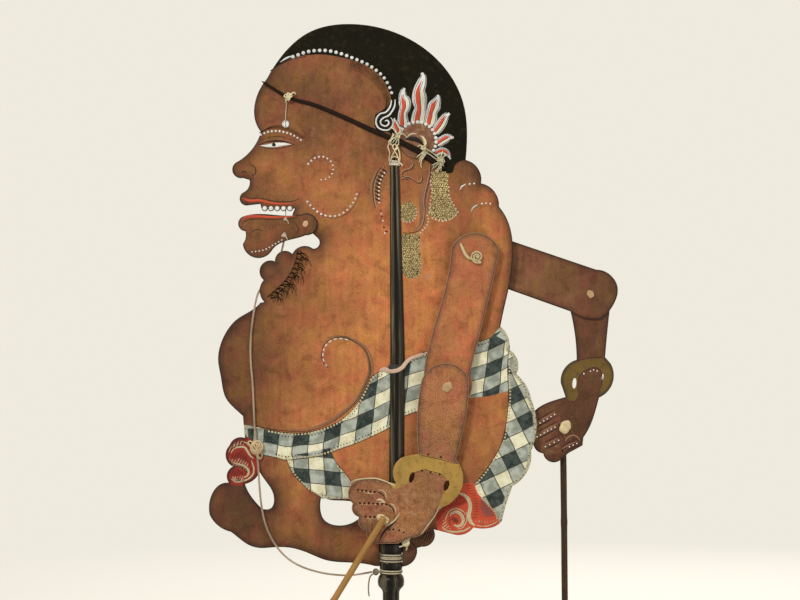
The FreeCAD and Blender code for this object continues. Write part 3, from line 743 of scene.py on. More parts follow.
HAIRLINE = [(-97, 436), (-89, 443), (-80.5, 448.5), (-73, 451.5), (-64, 453.5), (-51, 454), (-40, 452.5),
            (-28.5, 449.5), (-19, 446), (-11, 440.5), (-5.5, 434), (-1.8, 426.5), (-0.1, 421),
            (-2.6, 415.5), (-7.2, 411.8), (-11.6, 409.4)]
BELOW_HAIR = [(-12.9, 404), (-11.2, 398.2), (-6.6, 396), (-1.5, 395.6), (3, 390), (14, 382), (29, 373),
              (40, 366), (46, 365.5), (48, 371), (52, 374), (58, 375), (71, 376)]
BEYOND_HAIR = [(75, 420), (44, 488), (-31, 503), (-106, 473), (-108, 440)]
BELLY = [(-101, 175.5), (-87, 172.8), (-67.5, 171.3), (-55, 173.7), (-41.5, 180), (-26, 193),
         (-18.2, 206), (-15, 216), (-16, 225), (-19, 232), (-25, 237.3), (-32.5, 241), (-40, 242),
         (-46, 240.2), (-50.3, 236), (-52, 230), (-51, 224), (-47, 219.5)]
SASH_TOP = [(-125, 179), (-114, 177), (-102, 175), (-91.5, 172.5), (-81, 170.8), (-67.5, 170.3),
            (-55, 172.5), (-40, 178.5), (-29, 187.5), (-22, 197), (-16.5, 208), (-13.5, 213), (-5, 218),
            (11, 223.5), (25.5, 231), (46, 235.5), (66, 239), (74, 241.5), (82, 250), (90, 258)]
SASH_BOTTOM = [(100, 205), (88, 202), (73.5, 198), (59, 196.5), (37, 191), (10.5, 183), (-1.5, 174),
               (-22.5, 164), (-39, 158), (-53, 153), (-68, 151), (-79, 150), (-87, 152), (-97, 154),
               (-104.5, 160), (-114, 165), (-127, 167)]
DROP_LEFT = [(-79, 152.5), (-76.5, 145.5), (-73, 139), (-68, 133.5), (-62, 128), (-56, 124.5), (-51, 121)]
DROP_RIGHT = [(-28, 121), (-29, 128), (-30, 134), (-35, 141), (-39, 145.5), (-43, 151.5), (-46, 159)]
HIP_INNER = [(79, 243), (87, 238.5), (89, 236), (87.5, 224), (87.5, 214), (88, 202), (87.8, 191),
             (86, 176), (82, 160.5), (73.5, 146), (65.2, 135), (62.5, 132.4)]
HEM_TOP = [(62.5, 132.4), (64.2, 127), (66.2, 123.6), (69.6, 120.6), (73.5, 116.4), (77, 112.6),
           (79.6, 108.4), (81, 104), (81.8, 98)]


SASH_ROW, SASH_LEAN = 1.15, 0.12  # squares of cloth to the millimetre across it, and their lean


def sash_uv(points):
    """Squares whose sides stand nearly upright, in rows that follow the sash's lower edge and
    climb a little more behind the arm. They are drawn closer together on the belly."""
    x, z = points.T
    edge = smooth_line(SASH_BOTTOM[::-1], 2.0)
    low = np.interp(np.maximum(x, -95), edge[:, 0], edge[:, 1]) + 0.2 * np.maximum(x - 50, 0)
    squeezed = 0.5 * np.maximum(-95 - x, 0)
    return np.stack((x - squeezed - SASH_LEAN * z + 0.9, SASH_ROW * (z - low) + 11.5), -1)


def drop_uv(points):
    """Squares that hang nearly upright."""
    x, z = points.T
    return np.stack((x + 0.08 * z + 15.5, SASH_ROW * z + 0.12 * x + 15.3), -1)


def hip_uv(points):
    """Squares turned up towards the back, as the cloth is pulled round the hip."""
    x, z = points.T
    turned = np.radians(26)
    u, v = x * np.cos(turned) + z * np.sin(turned), z * np.cos(turned) - x * np.sin(turned)
    return np.stack((u + 19.8, 1.085 * v + 17.3), -1)


def joined(*runs):
    """One closed outline from smooth runs."""
    return np.concatenate([smooth_line(run, 1.2) if len(run) > 2 else np.array(run, float)
                           for run in runs])


ellipse = full_turn(40)
gold_disc = np.stack((12.8 + 6.4 * np.cos(ellipse), 336 + 7.6 * np.sin(ellipse)), -1)
pendant = smooth_line([(8, 318), (11, 319.8), (15, 319), (20, 320), (22, 316.5), (21, 310.5),
                       (21.8, 301.5), (22.5, 292.5), (20, 287.5), (14, 286.3), (9.8, 288.8), (7.5, 294),
                       (8.6, 303.8), (7.4, 311)], 1.0, closed=True)
tassel = smooth_line([(30.5, 366), (36.8, 366.5), (42, 365), (42.8, 357), (43.2, 348), (46.5, 341.5),
                      (50.5, 335), (46.5, 331.3), (41, 329.5), (36.8, 329.3), (32, 332), (28.5, 335.3),
                      (30, 343), (31.2, 351), (29.8, 359)], 1.0, closed=True)
sash_end = smooth_line([(-101, 158), (-105, 165.5), (-113, 168.5), (-122, 163), (-124, 153.8),
                        (-119, 147), (-124, 142.5), (-124, 134), (-117, 131), (-107, 131.3),
                        (-100.5, 136.5), (-98.5, 144), (-99.5, 151)], 1.0, closed=True)
HEM_LEFT = [(33, 112), (38, 116.5), (44.6, 122), (50, 128), (53, 131.4), (56, 133.2), (59.5, 133.4),
            (62.5, 132.4)]
# The deep red field above the scroll is a painted shadow, where the near hand's shadow falls.
HEM_SHADOW_FIELD = [(34, 110), (40, 117), (47.5, 123), (51, 125), (55.4, 122.4), (57.2, 118.6), (54, 116.6),
            (49, 115.6), (44, 114), (39.6, 110.8), (36.8, 106.8), (34.5, 104)]

FIELDS = [
    (joined(HAIRLINE, BELOW_HAIR, BEYOND_HAIR), 1, None),
    (joined(SASH_TOP, SASH_BOTTOM), 2, sash_uv),
    (joined(DROP_LEFT, DROP_RIGHT), 2, drop_uv),
    (joined(HIP_INNER, HEM_TOP, [(96, 100), (115, 110), (125, 165), (108, 215), (95, 262),
                                 (86, 250)]), 2, hip_uv),
    (joined(HEM_LEFT, HEM_TOP, [(70, 88), (40, 88), (34.5, 98)]), 3, None),
    # painted shadow of the near hand, in deep red
    (smooth_line(HEM_SHADOW_FIELD, 1.2, closed=True), 5, None),
    (sash_end, 5, None),
    (gold_disc, 4, None), (pendant, 4, None), (tassel, 4, None)]
figure_hide = hide_sheet("figure_sheet", "body_hide",
                         [skin, hair_black, poleng, vermilion, gold_ground, deep_red], FIELDS)


def lay_value(piece, name, value):
    """Stores a value at each point of a piece, a function of its x and z in millimetres: warmth
    for the colour of the skin, wear for rubbed paint, inland for the way to the edge."""
    mesh = piece.data
    places = np.empty(3 * len(mesh.vertices))
    mesh.vertices.foreach_get("co", places)
    x, _, z = places.reshape(-1, 3).T / MM
    mesh.attributes.new(name, "FLOAT", "POINT").data.foreach_set(
        "value", np.broadcast_to(value(x, z), x.shape).astype(np.float32))


def soft_spot(x, z, middle, reach):
    """1 at the middle, falling away as a bell curve over the two reaches."""
    return np.exp(-((x - middle[0]) / reach[0]) ** 2 - ((z - middle[1]) / reach[1]) ** 2)


WARM_SPOTS = (                   # middle, reach and strength
    ((15, 275), (62, 80), 0.62), ((22, 262), (20, 40), 0.3), ((-35, 215), (50, 60), 0.34),
    ((-42, 150), (60, 50), 0.5),
    ((70, 175), (40, 45), 0.42), ((-35, 320), (35, 40), 0.25), ((-62, 362), (32, 28), 0.28),
    ((-60, 275), (40, 40), -0.04), ((-125, 120), (45, 50), -0.3), ((16, 82), (16, 12), -0.7),
    ((84, 288), (11, 62), 0.75), ((72, 348), (16, 18), 0.4), ((-122, 215), (25, 50), -0.12))
lay_value(figure_hide, "warmth", lambda x, z: np.clip(0.22 + sum(
    strength * soft_spot(x, z, middle, reach) for middle, reach, strength in WARM_SPOTS), 0, 1))
lay_value(figure_hide, "wear", lambda x, z: 0.22 * soft_spot(x, z, (-45, 375), (60, 60)))
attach(figure_hide, "figure")

# ---- Brushed lines and dots on the figure ----
# Thick paint that stands a little proud of the hide, the same on both faces: calligraphic lines
# that swell and taper, and rows of round drops. Each colour is one piece.
PAINT_HIGH = 0.16
FINEST = 0.06                    # no brushed line is thinner than this
BOTH_FACES = ((-HIDE / 2, -1), (HIDE / 2, 1))


def brush(points, step=0.7):
    """A brushed line as rows of x, z and width: a smooth line through the given places, with the
    width carried along in the same way."""
    line = smooth_line([p if len(p) == 3 else (*p, 0.5) for p in points], step)
    line[:, 2] = np.maximum(line[:, 2], FINEST)
    return line


def beside(line, share, thinner):
    """The line moved sideways by a share of its half width, its width multiplied by thinner."""
    left = left_of(np.gradient(line[:, :2], axis=0))
    return np.column_stack((line[:, :2] + left * (share * line[:, 2:] / 2), line[:, 2] * thinner))


def swelling(points, wide):
    """A brushed line that swells to its middle and tapers to both ends as half a sine."""
    line = brush(points)
    line[:, 2] = wide * np.sin(np.pi * np.linspace(0.02, 0.98, len(line)))
    return line


def ridges(name, lines, material, faces=BOTH_FACES, high=PAINT_HIGH):
    """Raised lines on each face, given as its y and its outward way. A list of places is brushed
    first. A line's section is a flat ridge with sloping sides, as wide as the line is there,
    closed a little way inside the hide."""
    across = np.array([-1, -0.62, 0.62, 1, 0]) / 2
    lift = np.array([-0.1, 1, 1, -0.1, -0.5])
    grids = []
    for line in lines:
        line = brush(line) if isinstance(line, list) else line
        left = left_of(np.gradient(line[:, :2], axis=0))
        for face, out in faces:
            spread = line[:, None, 2:] * across[None, :, None] * left[:, None]
            x, z = (line[:, None, :2] + spread).transpose(2, 0, 1)
            y = np.broadcast_to(face + out * high * lift, x.shape)
            grids.append(np.stack((x, y, z), -1))
    return tube_piece(name, grids, material)


def drops(name, places, material, faces=BOTH_FACES, high=0.55):
    """Round drops of paint, given as x, z and radius. Each is a dome: rings whose height is that
    of half an ellipse, a share high of its radius, closed below inside the hide."""
    places = np.array(places, float)
    around = full_turn(10)
    rises = np.radians([-18, 12, 40, 66])
    ring_r, ring_y = np.cos(rises), np.sin(rises)
    ring_y[0] = -0.3
    grids = []
    for face, out in faces:
        x = ring_r[:, None] * np.cos(around)
        z = ring_r[:, None] * np.sin(around)
        y = np.broadcast_to(out * high * ring_y[:, None], x.shape)
        dome = np.stack((x, y, z), -1)
        middle = np.stack((places[:, 0], np.full(len(places), face), places[:, 1]), -1)
        grids += list(middle[:, None, None] + dome * places[:, 2, None, None, None])
    return tube_piece(name, grids, material)


def dotted(points, gap, radius, start=0.0, taper=0.0):
    """Places for drops every gap along a smooth line, the radius falling by taper to the end."""
    line = smooth_line(points, 0.2)
    reach = how_far(line)
    along = np.arange(start, reach[-1], gap)
    size = radius * (1 - taper * along / reach[-1])
    return np.stack((np.interp(along, reach, line[:, 0]), np.interp(along, reach, line[:, 1]),
                     size), -1)


# Hair: a crescent of white, a row of dots and a white double line that ends in a scroll.
HAIR_DOTS = [(-73.5, 452.3), (-61.9, 456.2), (-49.5, 457), (-38.6, 455), (-27.8, 451), (-16.9, 446.2),
             (-7.9, 439.5), (-3.4, 433.9), (-0.2, 427.3), (0.9, 423.2)]
white_lines = [
    [(-83.5, 448, 0.2), (-79, 451, 1.5), (-74.8, 452.8, 0.9)],
    [(3.1, 420.4, 0.7), (2.7, 415.4, 1.3), (0.4, 410.9, 1.4), (-2.2, 408, 1.3), (-5.2, 406.8, 1.3),
     (-7.8, 404.4, 1.3), (-7.1, 401.4, 1.3), (-3.7, 400.4, 1.3), (-1.5, 402.6, 1.3), (-2.9, 404.8, 1.2),
     (-4.5, 404, 0.8)],
    [(0.4, 420, 0.7), (-0.5, 415.4, 1.3), (-3.6, 411, 1.3), (-7.8, 409.7, 1.3), (-10.4, 407, 1.3),
     (-11.3, 403.2, 1.4), (-9.8, 399.5, 1.4), (-6.7, 397.7, 1.3), (-2.5, 397.4, 1.2), (0.7, 399.9, 1.1),
     (1.3, 404.1, 0.9), (-0.2, 406.8, 0.5)]]
white_drops = [dotted(HAIR_DOTS, 4.15, 1.5, taper=0.12)]
black_lines = [
    [(-90.5, 441.8, 0.5), (-83, 446.7, 0.7), (-74, 450.5, 0.5), (-64, 452.6, 0.4)],
    [(1.9, 420.5, 0.5), (1.2, 415, 0.6), (-1.6, 411, 0.6), (-4.6, 408.4, 0.6), (-9.2, 406.2, 0.6),
     (-9.6, 402, 0.6), (-7.6, 399.2, 0.6), (-3.4, 398.8, 0.6), (0, 401.6, 0.6), (-0.3, 404.8, 0.5)]]

# Fine combed hairs on the skin along the hairline, above the ear.
comb = smooth_line([(-30, 449.5), (-19, 445.5), (-11, 440), (-5.7, 433.5), (-2.2, 426), (-0.8, 420.5),
                    (-3, 415)], 1.0)
inward = -left_of(np.gradient(comb, axis=0))
length = 3.2 + 2.8 * np.sin(np.pi * np.linspace(0.1, 0.95, len(comb)))
hair_lines = [brush([(*(p + 0.2 * i), 0.34), (*(p + n * i + (0.5, -1.2)), 0.26),
                     (*(p + 1.6 * n * i + (1.0, -3.2)), 0.08)], 1.2)
              for p, i, n in zip(comb, inward, length / 1.9)]

# Face: a calm eye under an even brow, a nostril and a plain mouth line. The brow is a comb of
# short hairs over a row of dots, like the hairline.
BROW = [(-98.6, 395.6), (-92, 398.2), (-84, 398.6), (-75, 396.2), (-67, 391.5)]
brow = smooth_line(BROW, 1.15)
rise = 2.6 * np.sin(np.pi * np.linspace(0.06, 0.97, len(brow)) ** 0.8)
hair_lines += [brush([(x - 0.2, z - 0.2, 0.5), (x + 1.1, z + 0.5 * h, 0.42), (x + 2.8, z + h, 0.1)], 0.9)
               for (x, z), h in zip(brow, rise)]
white_drops.append(dotted([(x + 0.3, z - 2.1) for x, z in BROW], 2.9, 0.85, start=0.8))
white_lines += [[(-98, 385.7, 0.3), (-93, 385.6, 2.2), (-86.5, 386.2, 3.6), (-80, 386.8, 2.3),
                 (-74.5, 386.6, 0.3)]]
black_lines += [
    [(-99, 386.2, 0.5), (-93.5, 388.4, 1), (-86.5, 389.3, 1.3), (-79.5, 388.7, 1), (-72.5, 386.2, 0.4)],
    [(-98.2, 385.2, 0.3), (-93, 383.8, 0.5), (-86.5, 383.3, 0.5), (-80, 384.3, 0.5), (-74.3, 386, 0.3)],
    [(-97, 390.2, 0.2), (-90, 392.3, 0.4), (-82, 392.2, 0.4), (-74.5, 389.6, 0.2)],
    [(-106, 371.6, 0.3), (-102.2, 369.6, 0.7), (-101.4, 365.6, 0.8), (-104, 363, 0.5)],
    [(-112.6, 365.3, 0.3), (-110.2, 366.4, 1), (-107.6, 365.2, 0.3)]]
face_drops = [(-87.8, 386.4, 1.5)]
vermilion_lines = [[(-111.6, 346.4, 0.6), (-106, 344.4, 2.2), (-98.5, 344.6, 2), (-88, 342.4, 1.5),
                    (-76, 342.2, 0.9), (-70.5, 343.5, 0.3)]]
black_lines.append([(-110.8, 348.4, 0.3), (-105, 346.4, 0.5), (-98, 346.4, 0.5), (-88, 344.2, 0.5),
                    (-76, 343.8, 0.5), (-69, 345.6, 0.3)])
JAWLINE = [(-63, 344), (-57, 337.5), (-50, 333.5), (-41.5, 333), (-34, 336.5), (-28, 343.5), (-24.5, 352)]
white_drops.append(dotted(JAWLINE, 3.5, 0.95, start=0.5, taper=0.2))
CHEEK = [(-62, 372), (-57, 376.5), (-50, 377.2), (-44.5, 373), (-43.5, 366.5), (-47, 361.3), (-53, 360)]
white_drops.append(dotted(CHEEK, 3.3, 0.95, taper=0.45))
black_lines.append([(x + 1.3, z - 1.4, 0.3) for x, z in JAWLINE])

# Teeth: one white drop on each scallop of the hide's edge.
teeth = [(-75.9 - 4.7 * i, 338.7, 1.75) for i in range(5)]

# Ear: its contour with a pale line inside it and a soft shade behind, curled folds, and in front
# of it a sideburn: a crescent of black strokes between white dots.
EAR_BACK = [(29.9, 371.5), (29.6, 364), (27.9, 356.7), (26.2, 349.8), (25.4, 343.8), (25.7, 337.3),
            (25.1, 330.8), (23.4, 325.2), (19.3, 321.5), (14.1, 320.2), (9, 320.4)]
EAR_FRONT = [(-6.4, 370.4), (-9.6, 366), (-11.9, 361), (-13.3, 355.8), (-13.5, 349.8), (-12.9, 343.8),
             (-11.6, 339)]
SIDEBURN = [(-4.6, 366.6), (-6.6, 363.4), (-8.3, 360), (-9.1, 356.7), (-9.5, 353.2), (-9.6, 349.8),
            (-9.5, 346.3), (-9.3, 343)]
black_lines += [[(x, z, 0.55) for x, z in EAR_BACK], [(x, z, 0.5) for x, z in EAR_FRONT]]
taupe_lines = [swelling([(x - 2.6, z) for x, z in EAR_BACK[1:9]], 3.4),
               swelling([(x + 1.6, z - 0.3) for x, z in EAR_BACK[:9]], 1.8),
               swelling([(x - 1.5, z + 0.2) for x, z in EAR_FRONT], 1.6)]
buff_lines = [[(x - 1.0, z + 0.1, 0.55) for x, z in EAR_BACK[:9]],
              [(x + 0.9, z, 0.5) for x, z in EAR_FRONT]]
for x, z in dotted(SIDEBURN, 2.9, 1.0)[:, :2]:
    black_lines.append([(x - 2.9, z + 1.9, 0.4), (x - 0.6, z + 0.5, 1.4), (x + 1.7, z - 1.0, 0.5)])
white_drops.append(dotted([(x + 0.5, z) for x, z in SIDEBURN], 2.9, 0.72, start=1.45))
EAR_CURLS = [[(14.3, 374.6, 0.3), (16.6, 372.4, 0.8), (14.4, 369, 0.8), (10.8, 367.8, 0.8),
              (8.1, 366, 0.8), (9, 363.2, 0.8), (13.2, 362.4, 0.8), (16.4, 360.8, 0.8), (19, 358.8, 0.8),
              (21.6, 358.6, 0.8), (23, 361.4, 0.8), (22, 364.9, 0.4)],
             [(7.2, 361, 0.4), (9.8, 361.6, 0.8), (12.4, 361.2, 0.4)]]
buff_lines += EAR_CURLS
hair_lines += [[(x + 0.7, z - 0.9, 0.7 * wide) for x, z, wide in curl] for curl in EAR_CURLS]
white_drops.append([(-7.2, 334.6, 0.6), (-6, 329.5, 0.7), (-4.6, 320, 0.7)])
ear_drops = [(-7.8, 337, 0.55), (-6.8, 332.4, 0.6), (-5.3, 324.4, 0.7), (-3.4, 321.4, 0.8)]


def stippled(outline, gap, radius, spread=0.22):
    """Places for dots in staggered rows inside an outline, each a little off its place and a
    little larger or smaller, with a share that keeps the rows from showing."""
    loose = np.random.default_rng(7)
    low, high = outline.min(0), outline.max(0)
    x, z = np.meshgrid(np.arange(low[0], high[0], gap), np.arange(low[1], high[1], 0.87 * gap))
    x[1::2] += gap / 2
    places = np.stack((x.ravel(), z.ravel()), -1) + loose.uniform(-spread, spread, (x.size, 2)) * gap
    places = places[is_inside(places, outline)]
    return np.column_stack((places, radius * loose.uniform(0.65, 1.2, len(places))))


gold_drops = [stippled(outline, 1.75, 0.62) for outline in (gold_disc, pendant, tassel)]
gold_dark = [stippled(outline, 3.1, 0.5, 0.4) for outline in (pendant, tassel)]
gold_rims = [dotted([(27.3, 333.3), (28, 330.2), (27.5, 327.2), (25.4, 324.2), (23.4, 321.8),
                     (21.5, 319.7)], 2.5, 0.8),
             dotted([(31, 331.4), (37.4, 329.2), (41.7, 329.6), (45.4, 331), (48.4, 333.4),
                     (50.6, 334.8)], 2.7, 0.85),
             dotted([(50.2, 336), (46.8, 341.6), (43.6, 348), (43.2, 357)], 2.9, 0.75),
             dotted([(29.6, 359), (30.8, 351), (29.6, 343), (28.6, 336)], 2.9, 0.7),
             dotted([(7.4, 330), (10, 328.6), (14, 328.4), (17.6, 330.6), (19.2, 335), (18.4, 339.6)],
                    2.4, 0.75)]
buff_lines += [
    [(20.6, 316.4, 0.4), (23, 312.4, 0.7), (22.2, 308.6, 0.8), (23.2, 304.6, 0.7), (22.4, 301, 0.8),
     (23.4, 297, 0.7), (22.6, 293, 0.8), (20.8, 289, 0.8), (16.6, 286.4, 0.9), (11.6, 287, 0.6)],
    [(22.8, 289.6, 0.5), (25.4, 286.8, 0.9), (28.4, 287.4, 0.9), (29, 289.6, 0.7), (27, 290.4, 0.3)]]

# Neck: two short white strokes, each with its dots.
white_lines += [[(51.7, 352.4, 0.3), (53, 355, 1.1), (56, 356.9, 0.6)],
                [(59.9, 336, 0.3), (61.5, 339.2, 1.1), (65, 341.5, 0.6)]]
white_drops.append([(59, 357, 0.75), (62.3, 357.3, 0.75), (68.2, 342.2, 0.75), (71.2, 342.5, 0.75),
                    (74.5, 342.2, 0.75)])

# Belly: its contour runs up from the sash and curls in at the navel in broken white strokes.
belly = smooth_line(BELLY, 0.8)
black_lines.append(np.column_stack((belly, np.full(len(belly), 0.55))))
curl = smooth_line(BELLY[11:], 0.6)
reach = how_far(curl)
for start in np.arange(0.6, reach[-1] - 2, 4.1):
    piece = curl[(reach >= start) & (reach <= start + 2.9)]
    white_lines.append(np.column_stack((piece + (0.9, -0.9), np.linspace(0.9, 1.25, len(piece)))))
taupe_lines += [swelling([(x - 1.3, z + 1.2) for x, z in BELLY[1:15]], 2.4),
                swelling([(x + 1.4, z + 0.7) for x, z in BELLY[5:14]], 1.5)]
buff_lines.append(swelling([(x - 0.9, z + 0.7) for x, z in BELLY[3:14]], 0.6))

# Beard: dark curling hairs, two rows deep, along the inner side of the tuft. Each leans down to
# the right by its own angle, and its tip curls back.
FRINGE = [(-70.5, 307), (-72, 299), (-75.4, 291), (-80.4, 284), (-86.6, 278), (-93, 272.5)]
for step, inward, longest in ((0.8, 0, 7), (1.5, 2.6, 8)):
    for k, (x, z) in enumerate(smooth_line(FRINGE, step)):
        hair = longest + 2.2 * np.sin(2.1 * k) + 1.6 * np.sin(0.73 * k)
        lean = np.radians(-36 - 26 * np.sin(1.3 * k))
        ahead = np.array((np.cos(lean), np.sin(lean)))
        aside = np.array((-np.sin(lean), np.cos(lean)))
        root = np.array((x + inward, z - 0.6 * inward))
        hair_lines.append(brush([(*(root + hair * (run * ahead + bend * aside)), wide)
                                 for run, bend, wide in ((0, 0, 0.66), (0.4, 0.18, 0.52),
                                                         (0.76, 0.1, 0.38), (1, -0.24, 0.12))], 0.9))

# Sash: cream beads beside a ruled line along each edge, and a fine dark stitch inside them.
EDGES = ((SASH_TOP[3:13], -1.0), (SASH_TOP[13:18], -1.0), (SASH_BOTTOM[3:-4], 0.9))
cream_drops = [dotted([(x, z + off) for x, z in run], 2.5, 0.85) for run, off in EDGES]
cream_drops += [dotted([(x + 1.1, z) for x, z in DROP_LEFT], 2.5, 0.8),
                dotted([(x - 1.1, z) for x, z in DROP_RIGHT[:-2]], 2.5, 0.8),
                dotted([(x + 1.3, z) for x, z in HIP_INNER[3:]], 2.5, 0.8)]
stitch_drops = [dotted([(x, z + 2.9 * off) for x, z in run], 2.5, 0.48) for run, off in EDGES]
black_lines += [[(x, z, 0.5) for x, z in run]
                for run in (SASH_TOP[3:-2], SASH_BOTTOM[3:-3], DROP_LEFT, DROP_RIGHT, HIP_INNER[2:])]


def hatch(outline, turned, gap, wide, trim=0.1, bow=0.0):
    """Parallel strokes inside an outline, turned degrees from level and a gap apart: each runs
    between the places where its own line crosses the outline, less a trim at either end."""
    loop = np.array(outline, float)
    angle = np.radians(turned)
    turn = np.array(((np.cos(angle), np.sin(angle)), (-np.sin(angle), np.cos(angle))))
    a = loop @ turn.T
    b = np.roll(a, -1, 0)
    found = []
    for level in np.arange(a[:, 1].min() + 0.6 * gap, a[:, 1].max(), gap):
        crossing = (a[:, 1] > level) != (b[:, 1] > level)
        share = (level - a[crossing, 1]) / (b[crossing, 1] - a[crossing, 1])
        along = np.sort(a[crossing, 0] + share * (b[crossing, 0] - a[crossing, 0]))
        for first, last in zip(along[::2] + trim, along[1::2] - trim):
            if last - first > 0.8:
                ends = np.array(((first, level), ((first + last) / 2, level + bow), (last, level)))
                found.append(brush(np.column_stack((ends @ turn, (0.3 * wide, wide, 0.3 * wide))), 0.8))
    return found


# Sash end: two deep red lobes between cream scrolls, hatched with dark and cream strokes.
cream_lines = [
    [(-120.2, 155.2, 0.5), (-117.4, 158.6, 1.2), (-113.4, 159.8, 1.5), (-109.6, 159.4, 1.8),
     (-107.4, 156.4, 2), (-105.4, 153.2, 1.6), (-102.8, 151, 0.6)],
    [(-111.8, 164, 0.5), (-108.2, 162.6, 1.2), (-105.2, 159.6, 1.4), (-103, 155.6, 1)],
    [(-119.2, 148.2, 0.5), (-115.4, 147.2, 1.2), (-111, 146, 1.5), (-107.8, 143.8, 1.9),
     (-106.6, 141, 1.9), (-107.8, 138.2, 1.6), (-110.4, 136.8, 0.9)],
    [(-104.8, 149.6, 0.5), (-103.6, 146.6, 1.2), (-102.8, 143, 1.3), (-103.4, 139.4, 1.3),
     (-106.2, 136.4, 1.3), (-110.8, 134.2, 1.2), (-116.2, 133.6, 1.2), (-119.6, 135.8, 0.6)]]
cream_lines += hatch([(-122, 155.6), (-119.6, 160.8), (-113.8, 163.2), (-109.2, 162.2), (-110.4, 160.4),
                      (-114.6, 160.8), (-118.8, 158.8), (-120.8, 155)], 66, 1.9, 0.62)
cream_lines += hatch([(-119.8, 147.6), (-114.2, 146.6), (-109.2, 144.2), (-107.8, 141.6), (-110.6, 142.2),
                      (-114.4, 144.4), (-119.2, 145.2)], 60, 2.0, 0.8)
cream_lines += hatch([(-117.6, 138.2), (-113, 136.6), (-109.6, 136.2), (-110.8, 133.6), (-116, 133),
                      (-119, 135.2)], 78, 1.5, 0.7)
hatching = hatch([(-121.4, 152), (-122.8, 158), (-117, 165), (-110.4, 166.4), (-108.6, 161.6),
                  (-114, 160.4), (-118.6, 156.8)], 66, 1.9, 0.9)
hatching += hatch([(-120.4, 149.8), (-118.4, 154.6), (-112.4, 157.8), (-107.6, 153.8), (-106.4, 148.6),
                   (-110.8, 148.2), (-115.6, 149.4)], 58, 1.7, 0.95)
hatching += hatch([(-121.6, 140), (-119.6, 144), (-114.4, 143.4), (-109.8, 140.6), (-111.6, 138.6),
                   (-115, 138.6), (-119.4, 137.4)], 66, 1.8, 0.85)
hatching += hatch([(-106.2, 151), (-104.6, 148), (-104, 143), (-105.2, 139.6), (-105.8, 141.4),
                   (-105.6, 145.4), (-107.4, 148)], 72, 1.9, 0.7)
black_lines.append(swelling([(-120.4, 144), (-116.4, 145.4), (-112, 144.2), (-108.8, 141.4),
                             (-109.2, 138.6)], 0.9))

# Hem: a vermilion fold with a stitched cream band, a curled scroll in front of it, a deep red
# field of painted shadow above the scroll with vermilion strokes across it, grey shading
# behind, and the dark scalloped edge of the heel below.
SCROLL = [(44, 108, 0.8), (46, 110.4, 2), (49.4, 111.2, 2.5), (52.6, 109, 2.7), (54.2, 105.3, 2.7),
          (53.2, 101.8, 2.4), (50.2, 100.3, 2), (47.2, 101.4, 1)]
BAND = [(49.4, 125.6, 0.8), (54.2, 124, 2.2), (57.4, 121.2, 2.8), (59.2, 117.5, 3), (59.4, 113.7, 3),
        (58.6, 110, 3), (58.8, 106.2, 3), (60.4, 102.8, 2.6), (63.2, 100.9, 1.2)]
HEM_FOOT = [(38.2, 100.2, 0.7), (40.6, 97.6, 1.3), (45.2, 96.3, 1.5), (50.4, 96.2, 1.5),
            (55.4, 97.4, 1.4), (59.4, 99.8, 1)]
cream_lines += [SCROLL, BAND, HEM_FOOT]
cream_lines += [
    [(56.4, 111.2, 0.3), (57, 107.4, 0.8), (56.2, 103.4, 0.8), (53.8, 99.4, 0.7), (49.6, 98.2, 0.4)],
    [(40.6, 104.4, 0.4), (41.8, 108.4, 0.9), (44.2, 112, 0.9), (49.2, 113.6, 0.9), (54, 111.6, 0.8),
     (56.2, 108.6, 0.3)],
    [(64.2, 101, 0.5), (70, 100.3, 0.8), (76, 101.8, 0.8), (80, 104.4, 0.5)]]
cream_lines += hatch([(37.6, 98.8), (38.8, 104.8), (41.4, 105.2), (43.2, 101.4), (45.4, 98.2),
                      (40.4, 98.2)], 38, 1.9, 0.8)
cream_lines += hatch([(62, 104.2), (66, 102.6), (72, 102), (77.6, 103.6), (78.6, 105.4), (72, 104.2),
                      (66, 105.2)], 82, 2.2, 0.55)
stitch_drops += [dotted([(x, z) for x, z, _ in run[1:-1]], 1.6, 0.42) for run in (SCROLL, BAND)]
stitch_drops += [dotted([(x, z) for x, z, _ in HEM_FOOT], 1.7, 0.34)]
cream_drops += [dotted([(68.2, 121.2), (72.4, 116.8), (76.2, 112.8), (78.8, 108.8), (79.9, 105.4)], 1.9,
                       0.75)]
grey_strokes = hatch([(66.8, 121.4), (70.4, 118.6), (74.4, 114.2), (77.4, 110.2), (78.2, 107.8),
                      (68.4, 108), (66.8, 114)], 4, 1.35, 0.9, bow=0.3)
cream_lines += hatch([(-121.5, 150.6), (-114, 152.8), (-106.8, 148), (-107.4, 144.6), (-112, 146.4),
                      (-119.4, 147.4)], 58, 1.9, 0.75)
cream_lines += hatch([(-119.6, 137.8), (-111, 138.4), (-109.6, 133.6), (-117, 132.4)], 74, 1.7, 0.8)
cream_lines += hatch([(-120.6, 158.6), (-116, 164.2), (-110.6, 165), (-112, 162.2), (-116.4, 159.8)],
                     62, 1.8, 0.7)
# Vermilion strokes across the painted shadow above the scroll.
shadow_field_strokes = hatch([(39, 112), (43, 117.6), (49, 122.6), (53.4, 121.4), (55.6, 118.6), (50, 117.4),
                        (44, 115.6), (40.6, 111.6)], 118, 2.4, 0.9)
hatching += hatch([(55.6, 131.2), (61.4, 131.6), (63.6, 125), (65.4, 119), (66, 110), (64.6, 106),
                   (61.4, 106), (61.4, 113), (61.2, 119), (59, 124)], 6, 2.0, 0.42, bow=0.2)
hatching += hatch([(42.4, 106.4), (44.6, 110.6), (47.4, 108.8), (45.2, 104.6), (45, 100.8), (42.6, 102)],
                  28, 1.6, 0.7)
hatching += hatch([(55, 108.8), (56.6, 107), (56.2, 103.2), (54.6, 100.8), (54.8, 104.8)], 60, 1.7, 0.55)
hatching += hatch([(45.4, 105.4), (47.6, 107.4), (50.4, 106.4), (51, 104), (49.4, 102.4),
                   (46.4, 103.2)], 40, 1.05, 0.95, trim=0.0)
